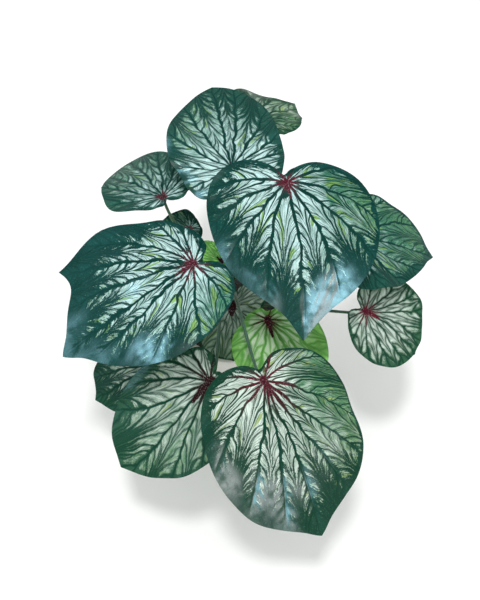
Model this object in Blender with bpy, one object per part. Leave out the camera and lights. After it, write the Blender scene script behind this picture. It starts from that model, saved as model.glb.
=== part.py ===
"""Caladium in a plain pot: fourteen blades, each on its own stalk, standing in soil.

The origin is the middle of the pot's base, +Z is up, and -Y is the side that the plant leans to.
Sizes are in millimetres and angles in degrees, turned into metres and radians where they are used.
"""

import math
from dataclasses import dataclass

import bmesh
import bpy
from mathutils import Euler, Matrix, Vector

MM = 0.001

# Pot
POT_HEIGHT = 130.0
POT_BASE_RADIUS = 48.0
POT_SHOULDER_RADIUS = 65.0
POT_RIM_RADIUS = 71.0
POT_RIM_HEIGHT = 20.0
POT_WALL = 5.0
POT_FLOOR = 7.0
POT_EDGE = 2.0
POT_SEGMENTS = 56
DRAIN_RADIUS = 4.0
DRAIN_CIRCLE_RADIUS = 27.0
DRAIN_COUNT = 3

# Soil
SOIL_TOP = 118.0
SOIL_EDGE_DROP = 3.0
SOIL_FLAT_RADIUS = 32.0
HOLE_DEPTH = 14.0
HOLE_SIDES = 12

# Clearance between pieces that rest on one another
SEAT = 0.3

# Blades
BLADE_THICKNESS = 0.9
EDGE_BEARINGS = (0, 22, 45, 75, 105, 140, 180, 220, 255, 285, 315, 338)
RING_FRACTIONS = (0.3, 0.58, 0.81, 1.0)
SMALL_RING_FRACTIONS = (0.6, 1.0)
COLUMN_BEARINGS = (4, 10, 20, 32, 45, 58, 70, 82, 95, 108, 121, 133, 145, 157, 169)
SMALL_COLUMN_BEARINGS = (6, 20, 42, 66, 90, 114, 138, 160)
SMALL_BLADE_LENGTH = 50.0
POINT_WIDTH = 5.0
CORNER_WIDTH = 4.0
CREASE_HALF_WIDTH = 3.0
HUB_RADIUS = 3.5
CREASE_SLOPE = 0.06
SIDE_DROOP = 8.0

# Stalks
STALK_ROOT_RADIUS = 2.6
STALK_TIP_RADIUS = 1.7
STALK_POINTS = 14
STALK_GAP = 0.25
STALK_STRAIGHT = 2.5

# Colours seen on the plant, as linear red, green and blue
TEAL_GREEN = (0.045, 0.16, 0.12)
FRESH_GREEN = (0.12, 0.33, 0.07)
STALK_GREEN = (0.16, 0.24, 0.10)
SOIL_BROWN = (0.045, 0.03, 0.02)
POT_WHITE = (0.78, 0.78, 0.76)


@dataclass(frozen=True)
class Leaf:
    """One blade and its stalk.

    joint: where the stalk meets the blade's underside
    heading: bearing of the tip on the ground plan, 0 along +X and 90 along +Y
    pitch, roll: rise of the tip and of the right side where the blade leaves the stalk
    length: from the joint to the tip
    reaches: from the joint to the edge at EDGE_BEARINGS, clockwise from the tip
    point: how far the drawn-out tip stands past its round edge
    bend, back: how far the tip and the lobes hang below the joint's own plane
    wave, waves: height and number of the edge's waves, and where round the edge they start
    corner: bearing and height of a second point on the edge
    root: where the stalk leaves the soil, on the ground plan
    rise, arrive: how far the stalk keeps its upright start and its square end
    """

    number: int
    joint: tuple
    heading: float
    pitch: float
    length: float
    reaches: tuple
    root: tuple
    rise: float
    arrive: float
    roll: float = 0.0
    point: float = 4.0
    bend: float = 8.0
    back: float = 10.0
    side: float = SIDE_DROOP
    wave: float = 2.0
    waves: int = 7
    wave_start: float = 0.0
    corner: tuple = ()
    young: bool = False


LEAVES = (
    Leaf(1, (2, 60, 296), 99, -14, 146, (144, 115, 76, 58, 52, 48, 16, 55, 51, 60, 82, 110),
         root=(-8, 13), rise=120, arrive=50, point=6, bend=14, side=10, wave=2.5, waves=8,
         wave_start=57),
    Leaf(2, (29, 154, 248), 19, -15, 55, (54, 44, 32, 30, 33, 34, 18, 32, 50, 56, 48, 62),
         root=(1, 17), rise=90, arrive=50, roll=10, point=4, bend=8, wave=2.5, waves=7,
         corner=(333, 7)),
    Leaf(3, (-67, 47, 262), 150, -21, 87, (85, 97, 88, 58, 36, 26, 10, 10, 21, 24, 48, 64),
         root=(-21, 8), rise=100, arrive=50, roll=-10, point=4, bend=10, wave=2, waves=7,
         wave_start=115),
    Leaf(4, (-42, 46, 205), 150, -11, 33, (34, 31, 28, 18, 12, 12, 16, 17, 12, 15, 17, 21),
         root=(-15, 15.5), rise=45, arrive=30, point=2, bend=3, back=2, side=2, wave=0.8,
         waves=5),
    Leaf(5, (-34, -49, 290), -155, -21, 162, (161, 134, 124, 64, 38, 25, 10, 35, 59, 74, 101, 120),
         root=(-16, -1), rise=110, arrive=60, point=10, bend=22, wave=3, waves=7, wave_start=29,
         corner=(32.5, 17)),
    Leaf(6, (55, 8, 345), -82, -30, 153, (152, 110, 96, 82, 66, 24, 8, 18, 43, 78, 108, 124),
         root=(-7.5, 3.5), rise=150, arrive=40, point=16, bend=22, wave=2.5, waves=6),
    Leaf(7, (120, 0, 265), 11, -30, 118, (116, 84, 71, 64, 61, 38, 12, 24, 31, 49, 76, 103),
         root=(-1, 9), rise=140, arrive=50, point=8, bend=16, wave=2.5, waves=7),
    Leaf(8, (137, -53, 205), -31, -23, 70, (69, 65, 54, 39, 26, 18, 6, 23, 40, 54, 67, 66),
         root=(8.5, 1), rise=18, arrive=15, point=4, bend=8, wave=2, waves=8),
    Leaf(9, (39, -50, 182), -66, -20, 89, (89, 72, 63, 47, 26, 18, 12, 10, 24, 44, 68, 81),
         root=(8, -8), rise=20, arrive=42, point=6, bend=10, wave=2.5, waves=9, young=True),
    Leaf(10, (2, -25, 166), -88, -18, 57, (57, 56, 49, 15, 6, 5, 6, 34, 38, 28, 28, 45),
         root=(2, -18), rise=15, arrive=12, point=3, bend=6, wave=2, waves=7),
    Leaf(11, (34, -147, 235), -64, -33, 167, (166, 140, 110, 76, 57, 30, 12, 28, 50, 72, 98, 138),
         root=(-0.5, 1.5), rise=130, arrive=45, point=8, bend=20, wave=3, waves=7,
         wave_start=115, corner=(327, 8)),
    Leaf(12, (-19, -132, 205), -146, -25, 128, (128, 111, 85, 50, 38, 23, 14, 22, 36, 60, 86, 107),
         root=(-8.5, -4.5), rise=120, arrive=22, point=6, bend=18, wave=2.5, waves=7),
    Leaf(13, (-80, -87, 150), -161, -24, 74, (73, 70, 63, 30, 20, 15, 8, 13, 25, 32, 48, 61),
         root=(-15, -10), rise=40, arrive=30, point=4, bend=8, wave=2, waves=6),
    Leaf(14, (-8, 2, 212), 136, -3, 38, (37, 28, 18, 10, 6, 6, 7, 7, 16, 19, 23, 28),
         root=(-14, 6.5), rise=30, arrive=20, point=3, bend=3, back=3, side=3, wave=1, waves=6,
         young=True),
)


def clear_scene():
    """Remove every object that the file opened with."""
    for old in list(bpy.data.objects):
        bpy.data.objects.remove(old, do_unlink=True)


def make_material(name, colour, roughness):
    """One plain material with the piece's colour and gloss."""
    material = bpy.data.materials.new(name)
    material.use_nodes = True
    shader = material.node_tree.nodes["Principled BSDF"]
    shader.inputs["Base Color"].default_value = (*colour, 1.0)
    shader.inputs["Roughness"].default_value = roughness
    shader.inputs["Metallic"].default_value = 0.0
    material.diffuse_color = (*colour, 1.0)
    return material


def add_object(name, data, material, parent):
    """Link one named object under the plant's empty."""
    data.materials.append(material)
    piece = bpy.data.objects.new(name, data)
    bpy.context.collection.objects.link(piece)
    piece.parent = parent
    return piece


def finish_mesh(mesh_builder, name, smooth_angle=40.0):
    """Turn a bmesh into a mesh, shaded smooth up to the given angle."""
    bmesh.ops.recalc_face_normals(mesh_builder, faces=mesh_builder.faces)
    mesh = bpy.data.meshes.new(name)
    mesh_builder.to_mesh(mesh)
    mesh_builder.free()
    mesh.shade_smooth()
    mesh.set_sharp_from_angle(angle=math.radians(smooth_angle))
    return mesh


def turned_mesh(name, profile, segments):
    """Spin a profile of (radius, height) points round +Z into one closed body."""
    builder = bmesh.new()
    corners = [builder.verts.new((r * MM, 0.0, z * MM)) for r, z in profile]
    edges = [builder.edges.new(pair) for pair in zip(corners, corners[1:])]
    bmesh.ops.spin(builder, geom=corners + edges, cent=(0, 0, 0), axis=(0, 0, 1),
                   angle=math.tau, steps=segments, use_merge=True)
    bmesh.ops.remove_doubles(builder, verts=builder.verts, dist=0.00001)
    return finish_mesh(builder, name)


def add_cutter(name, places, radius, bottom, top, sides):
    """One hidden object of upright cylinders at the given places."""
    builder = bmesh.new()
    for x, y in places:
        move = Matrix.Translation((x * MM, y * MM, (bottom + top) * 0.5 * MM))
        bmesh.ops.create_cone(builder, cap_ends=True, segments=sides, radius1=radius * MM,
                              radius2=radius * MM, depth=(top - bottom) * MM, matrix=move)
    mesh = bpy.data.meshes.new(name)
    builder.to_mesh(mesh)
    builder.free()
    cutter = bpy.data.objects.new(name, mesh)
    bpy.context.collection.objects.link(cutter)
    cutter.hide_render = True
    cutter.display_type = "WIRE"
    return cutter


def cut(piece, cutter):
    """Take the cutter's cylinders out of the piece."""
    boolean = piece.modifiers.new("holes", "BOOLEAN")
    boolean.operation = "DIFFERENCE"
    boolean.solver = "EXACT"
    boolean.object = cutter


def inner_radius(height):
    """Radius of the pot's inner wall at a height."""
    inner_base = POT_BASE_RADIUS - POT_WALL
    inner_top = POT_SHOULDER_RADIUS - POT_WALL + 1.0
    share = (height - POT_FLOOR) / (POT_HEIGHT - POT_FLOOR)
    return inner_base + (inner_top - inner_base) * share


def add_pot(parent):
    """Tapered pot with a plain band at the rim and off-centre drain holes."""
    band_foot = POT_HEIGHT - POT_RIM_HEIGHT
    profile = (
        (0, 0),
        (POT_BASE_RADIUS - POT_EDGE, 0),
        (POT_BASE_RADIUS, POT_EDGE),
        (POT_SHOULDER_RADIUS, band_foot - POT_EDGE),
        (POT_RIM_RADIUS - POT_EDGE, band_foot),
        (POT_RIM_RADIUS, band_foot + POT_EDGE),
        (POT_RIM_RADIUS, POT_HEIGHT - POT_EDGE),
        (POT_RIM_RADIUS - POT_EDGE, POT_HEIGHT),
        (inner_radius(POT_HEIGHT) + POT_EDGE, POT_HEIGHT),
        (inner_radius(POT_HEIGHT), POT_HEIGHT - POT_EDGE),
        (inner_radius(POT_FLOOR), POT_FLOOR),
        (0, POT_FLOOR),
    )
    material = make_material("pot_white", POT_WHITE, 0.45)
    pot = add_object("pot", turned_mesh("pot", profile, POT_SEGMENTS), material, parent)
    places = []
    for index in range(DRAIN_COUNT):
        turn = math.tau * index / DRAIN_COUNT
        places.append((DRAIN_CIRCLE_RADIUS * math.cos(turn), DRAIN_CIRCLE_RADIUS * math.sin(turn)))
    cut(pot, add_cutter("drain_cutter", places, DRAIN_RADIUS, -5.0, POT_FLOOR + 5.0, 16))


def add_soil(parent):
    """Soil that fills the pot, with a blind hole for every stalk."""
    edge_top = SOIL_TOP - SOIL_EDGE_DROP
    profile = (
        (0, POT_FLOOR + SEAT),
        (inner_radius(POT_FLOOR) - 2 * SEAT, POT_FLOOR + SEAT),
        (inner_radius(edge_top) - 2 * SEAT, edge_top),
        (SOIL_FLAT_RADIUS, SOIL_TOP),
        (0, SOIL_TOP),
    )
    material = make_material("soil_brown", SOIL_BROWN, 0.95)
    soil = add_object("soil", turned_mesh("soil", profile, POT_SEGMENTS), material, parent)
    places = [leaf.root for leaf in LEAVES]
    radius = STALK_ROOT_RADIUS + SEAT
    cut(soil, add_cutter("stalk_cutter", places, radius, SOIL_TOP - HOLE_DEPTH, SOIL_TOP + 5.0,
                         HOLE_SIDES))


def edge_reach(leaf, bearing):
    """Distance from the joint to the edge: a smooth curve through the reaches, plus its points."""
    reaches = [leaf.reaches[0] - leaf.point, *leaf.reaches[1:]]
    count = len(reaches)
    turn = bearing % 360.0
    last = max(i for i in range(count) if EDGE_BEARINGS[i] <= turn)

    def knot(i):
        return EDGE_BEARINGS[i % count] + 360.0 * (i // count)

    def slope(i):
        before, after = reaches[(i - 1) % count], reaches[(i + 1) % count]
        here = reaches[i % count]
        near, far = knot(i) - knot(i - 1), knot(i + 1) - knot(i)
        return ((here - before) * far / near + (after - here) * near / far) / (near + far)

    span = knot(last + 1) - knot(last)
    t = (turn - knot(last)) / span
    start, end = reaches[last], reaches[(last + 1) % count]
    reach = start * (1 + 2 * t) * (1 - t) ** 2 + end * t * t * (3 - 2 * t)
    reach += span * t * (1 - t) * (slope(last) * (1 - t) - slope(last + 1) * t)
    reach += leaf.point * math.exp(-min(turn, 360.0 - turn) / POINT_WIDTH)
    if leaf.corner:
        reach += leaf.corner[1] * math.exp(-abs(turn - leaf.corner[0]) / CORNER_WIDTH)
    return reach


def blade_height(leaf, across, along, share, bearing):
    """Height of the blade above the joint's plane: arched, creased and waved at its edge."""
    stretch = along / leaf.length
    droop = leaf.bend if stretch > 0 else leaf.back
    height = -droop * stretch ** 2
    height += CREASE_SLOPE * (math.hypot(across, CREASE_HALF_WIDTH) - CREASE_HALF_WIDTH)
    height -= leaf.side * (across / leaf.length) ** 2
    phase = math.radians(leaf.waves * bearing + leaf.wave_start)
    return height + leaf.wave * share ** 3 * math.sin(phase)


def blade_point(leaf, bearing, share):
    """A point of the upper face, in the blade's own frame: +Y to the tip, +X to its right."""
    reach = share * edge_reach(leaf, bearing)
    across = reach * math.sin(math.radians(bearing))
    along = reach * math.cos(math.radians(bearing))
    return Vector((across, along, blade_height(leaf, across, along, share, bearing))) * MM


def hub_point(bearing):
    """A point on the rim of the flat spot that sits on the stalk."""
    turn = math.radians(bearing)
    return Vector((math.sin(turn), math.cos(turn), 0.0)) * HUB_RADIUS * MM


def column_bearings(leaf):
    """Bearings of the mesh's columns, both ways round from the tip, with any corner's own."""
    half = SMALL_COLUMN_BEARINGS if leaf.length < SMALL_BLADE_LENGTH else COLUMN_BEARINGS
    bearings = [0.0, 180.0, *half, *(360.0 - b for b in half)]
    if leaf.corner:
        nearest = min(bearings, key=lambda b: abs(b - leaf.corner[0]))
        bearings.remove(nearest)
        bearings.append(leaf.corner[0])
    return sorted(bearings)


def blade_mesh(leaf):
    """Upper face of a blade: rings of triangles round the joint."""
    small = leaf.length < SMALL_BLADE_LENGTH
    shares = SMALL_RING_FRACTIONS if small else RING_FRACTIONS
    bearings = column_bearings(leaf)
    count = len(bearings)
    builder = bmesh.new()
    middle = builder.verts.new((0, 0, 0))
    rings = [[builder.verts.new(hub_point(b)) for b in bearings]]
    for share in shares:
        rings.append([builder.verts.new(blade_point(leaf, b, share)) for b in bearings])
    for i in range(count):
        j = (i + 1) % count
        builder.faces.new((middle, rings[0][j], rings[0][i]))
        for inner, outer in zip(rings, rings[1:]):
            builder.faces.new((inner[i], inner[j], outer[j]))
            builder.faces.new((inner[i], outer[j], outer[i]))
    mesh = bpy.data.meshes.new(f"blade_{leaf.number:02d}")
    builder.to_mesh(mesh)
    builder.free()
    mesh.shade_smooth()
    return mesh


def blade_rotation(leaf):
    """Turn that lays the blade's own frame in its place."""
    angles = (leaf.pitch, -leaf.roll, leaf.heading - 90.0)
    return Euler([math.radians(a) for a in angles], "YXZ")


def add_blade(leaf, material, parent):
    """A thin blade, set in place by the joint's location and turn."""
    blade = add_object(f"blade_{leaf.number:02d}", blade_mesh(leaf), material, parent)
    blade.location = Vector(leaf.joint) * MM
    blade.rotation_mode = "YXZ"
    blade.rotation_euler = blade_rotation(leaf)
    thickness = blade.modifiers.new("thickness", "SOLIDIFY")
    thickness.thickness = BLADE_THICKNESS * MM
    thickness.offset = -1.0


def stalk_route(leaf):
    """Centre line of a stalk: straight in its hole, then one smooth arch to the blade."""
    upward = blade_rotation(leaf).to_matrix() @ Vector((0, 0, 1))
    foot = Vector((*leaf.root, SOIL_TOP - HOLE_DEPTH + SEAT))
    start = Vector((*leaf.root, SOIL_TOP + SEAT))
    end = Vector(leaf.joint) - upward * (BLADE_THICKNESS + STALK_GAP)
    neck = end - upward * STALK_STRAIGHT
    first = start + Vector((0, 0, leaf.rise))
    second = neck - upward * leaf.arrive
    route = [foot]
    for step in range(STALK_POINTS + 1):
        t = step / STALK_POINTS
        arch = start * (1 - t) ** 3 + first * 3 * t * (1 - t) ** 2
        arch += second * 3 * t * t * (1 - t) + neck * t ** 3
        route.append(arch)
    return [*route, end]


def add_stalk(leaf, material, parent):
    """A slim tapered stalk with closed ends."""
    curve = bpy.data.curves.new(f"stalk_{leaf.number:02d}", "CURVE")
    curve.dimensions = "3D"
    curve.bevel_depth = STALK_ROOT_RADIUS * MM
    curve.bevel_resolution = 2
    curve.use_fill_caps = True
    route = stalk_route(leaf)
    spline = curve.splines.new("POLY")
    spline.points.add(len(route) - 1)
    for index, place in enumerate(route):
        share = index / (len(route) - 1)
        spline.points[index].co = (*(place * MM), 1.0)
        spline.points[index].radius = 1.0 + (STALK_TIP_RADIUS / STALK_ROOT_RADIUS - 1.0) * share
    spline.use_smooth = True
    add_object(curve.name, curve, material, parent)


def main():
    """Build the pot, the soil and every leaf."""
    clear_scene()
    plant = bpy.data.objects.new("caladium", None)
    bpy.context.collection.objects.link(plant)
    add_pot(plant)
    add_soil(plant)
    teal = make_material("blade_teal", TEAL_GREEN, 0.35)
    fresh = make_material("blade_fresh", FRESH_GREEN, 0.4)
    stalk_green = make_material("stalk_green", STALK_GREEN, 0.5)
    for leaf in LEAVES:
        add_blade(leaf, fresh if leaf.young else teal, plant)
        add_stalk(leaf, stalk_green, plant)


main()
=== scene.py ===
"""Caladium in a plain pot: veined blades, stalks, soil and pot, dressed and lit in the studio.

The row frame is in metres with +Z up. Leaf sizes are kept in millimetres and degrees and are
turned into metres and radians where a mesh is made. Bearings on a blade run clockwise from its tip.
"""

import logging
import math
import random
from collections.abc import Iterator
from contextlib import contextmanager
from dataclasses import dataclass, field
from enum import Enum
from typing import ClassVar

import bpy
import numpy as np
from mathutils import Euler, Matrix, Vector, noise

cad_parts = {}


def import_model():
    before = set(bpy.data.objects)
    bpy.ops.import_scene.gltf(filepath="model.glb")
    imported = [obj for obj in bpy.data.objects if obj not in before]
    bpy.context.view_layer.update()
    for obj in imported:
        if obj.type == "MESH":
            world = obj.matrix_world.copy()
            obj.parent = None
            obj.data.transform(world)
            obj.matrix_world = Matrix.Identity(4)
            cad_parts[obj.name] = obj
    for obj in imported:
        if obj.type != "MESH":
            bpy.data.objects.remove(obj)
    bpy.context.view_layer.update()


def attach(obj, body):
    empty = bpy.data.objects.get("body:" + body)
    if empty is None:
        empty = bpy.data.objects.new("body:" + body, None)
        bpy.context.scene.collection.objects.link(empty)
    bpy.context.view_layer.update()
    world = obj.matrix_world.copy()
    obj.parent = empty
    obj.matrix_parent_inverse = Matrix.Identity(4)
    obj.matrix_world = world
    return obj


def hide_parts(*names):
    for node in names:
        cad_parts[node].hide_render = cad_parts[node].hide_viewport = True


LOG = logging.getLogger("caladium")

MM = 0.001
BODY = "root"

Colour = tuple[float, float, float]
Socket = bpy.types.NodeSocket
Feed = "Wire | float | tuple"

# Bearings at which a leaf's reaches are given, clockwise from the tip
EDGE_BEARINGS = (0, 6, 14, 24, 36, 50, 66, 84, 102, 120, 140, 160,
                 180, 200, 220, 240, 258, 276, 294, 310, 324, 336, 346, 354)

# Form that all blades share with the solid part: points on the edge, crease and flat hub
POINT_WIDTH = 5.0
CORNER_WIDTH = 4.0
CREASE_HALF_WIDTH = 3.0
CREASE_SLOPE = 0.06
HUB_RADIUS = 3.5
HUB_BLEND = 9.0
BLADE_THICKNESS = 0.9

# Thickness of a finished blade, and the share of the way to the edge from which a point is on it
SHEET_THICKNESS = 0.75
RIM_SHARE = 0.9999

# Distance between side veins: its least value, what a longer blade adds, and what a soft one does
LEAST_SPACING = 5.0
SPACING_BY_LENGTH = 0.045
SPACING_BY_SOFTNESS = 0.7

# Main veins as (bearing at the joint, bearing at the edge), once round the blade
COMMON_RIBS = ((0, 0), (27, 19), (54, 42), (82, 68), (108, 98), (148, 142),
               (212, 218), (250, 262), (278, 292), (304, 318), (333, 341))

# Heights, radii and gaps of the pot, the soil and the stalks, as in the solid part
SOIL_TOP = 118.0
HOLE_DEPTH = 14.0
SEAT = 0.3
STALK_GAP = 0.25
POT_HEIGHT = 130.0
POT_FLOOR = 7.0
INNER_BASE_RADIUS = 43.0
INNER_TOP_RADIUS = 61.0

# Metres within which two points are one, and degrees up to which an edge is shaded smooth
MERGE_DISTANCE = 1e-6
LEAF_SMOOTH = 50.0
SOIL_SMOOTH = 60.0
POT_SMOOTH = 40.0


class Tint(Enum):
    """The green that a blade has between its pale patches."""

    TEAL = "teal"
    FOREST = "forest"
    # A bright young green, raised further as painted light that cancels the shade of the blades above
    FRESH = "fresh"


def srgb(red: int, green: int, blue: int) -> Colour:
    """Turn an eight-bit display colour into a linear one.

    Args:
        red, green, blue: display values from 0 to 255.

    Returns:
        The colour as linear red, green and blue.
    """
    parts = (value / 255.0 for value in (red, green, blue))
    return tuple(p / 12.92 if p <= 0.04045 else ((p + 0.055) / 1.055) ** 2.4 for p in parts)


def ease(values: np.ndarray | float, low: float, high: float) -> np.ndarray | float:
    """Rise smoothly from 0 at low to 1 at high.

    Args:
        values: where to read the curve.
        low, high: ends of the rise.

    Returns:
        Shares from 0 to 1.
    """
    share = np.clip((values - low) / (high - low), 0.0, 1.0)
    return share * share * (3.0 - 2.0 * share)


@dataclass(frozen=True)
class Shine:
    """One waxy spot of a blade.

    first, last: bearings that it lies between
    start, end: shares of the way to the edge that it lies between
    strength: how strongly it shines
    soft, last_soft: degrees over which it fades before the first and after the last bearing
    """

    first: float
    last: float
    start: float
    end: float
    strength: float
    soft: float = 7.0
    last_soft: float = 7.0


@dataclass(frozen=True)
class Markings:
    """Colour pattern of one blade, in millimetres and shares.

    margins: width of the plain dark band at bearings round the blade
    tone: how green the pale patches are, and the bearing at which they are greenest
    crimson: length of the red arms along the main veins, and radius of the red hub
    hub_length: how far the red hub follows the midrib
    hub_dark: how far the hub goes from crimson to maroon
    rib_width: half width of a main vein near the joint
    lime: share of the patches that turn lime
    pale: how much of the blade the pale patches take
    soft: how far the patches' edges melt away
    shine: its waxy spots
    """

    margins: tuple = ((0, 16), (45, 9), (90, 6), (180, 4), (270, 6), (315, 9))
    tone: tuple = (0.35, 270)
    crimson: tuple = (18.0, 5.0)
    hub_length: float = 6.0
    hub_dark: float = 0.3
    rib_width: float = 1.5
    lime: float = 0.4
    pale: float = 0.55
    soft: float = 0.0
    shine: tuple = ()


@dataclass(frozen=True)
class Leaf:
    """One blade and its stalk, with the same values as the solid part.

    joint: where the stalk meets the blade's underside
    heading: bearing of the tip on the ground plan, 0 along +X and 90 along +Y
    pitch, roll: rise of the tip and of the right side where the blade leaves the stalk
    length: from the joint to the tip
    reaches: from the joint to the edge at EDGE_BEARINGS, clockwise from the tip
    root: where the stalk leaves the soil, on the ground plan
    rise, arrive: how far the stalk keeps its upright start and its square end
    point: how far the drawn-out tip stands past its round edge
    bend, back, side: how far the tip, the lobes and the sides hang below the joint's own plane
    wave, waves: height and number of the edge's waves, and where round the edge they start
    corner: bearing and height of a second point on the edge
    tint: which green it has
    ribs: its main veins as (bearing at the joint, bearing at the edge)
    markings: its colour pattern
    """

    number: int
    joint: tuple
    heading: float
    pitch: float
    length: float
    reaches: tuple
    root: tuple
    rise: float
    arrive: float
    roll: float = 0.0
    point: float = 4.0
    bend: float = 8.0
    back: float = 10.0
    side: float = 8.0
    wave: float = 2.0
    waves: int = 7
    wave_start: float = 0.0
    corner: tuple = ()
    tint: Tint = Tint.TEAL
    ribs: tuple = COMMON_RIBS
    markings: Markings = field(default_factory=Markings)


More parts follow.
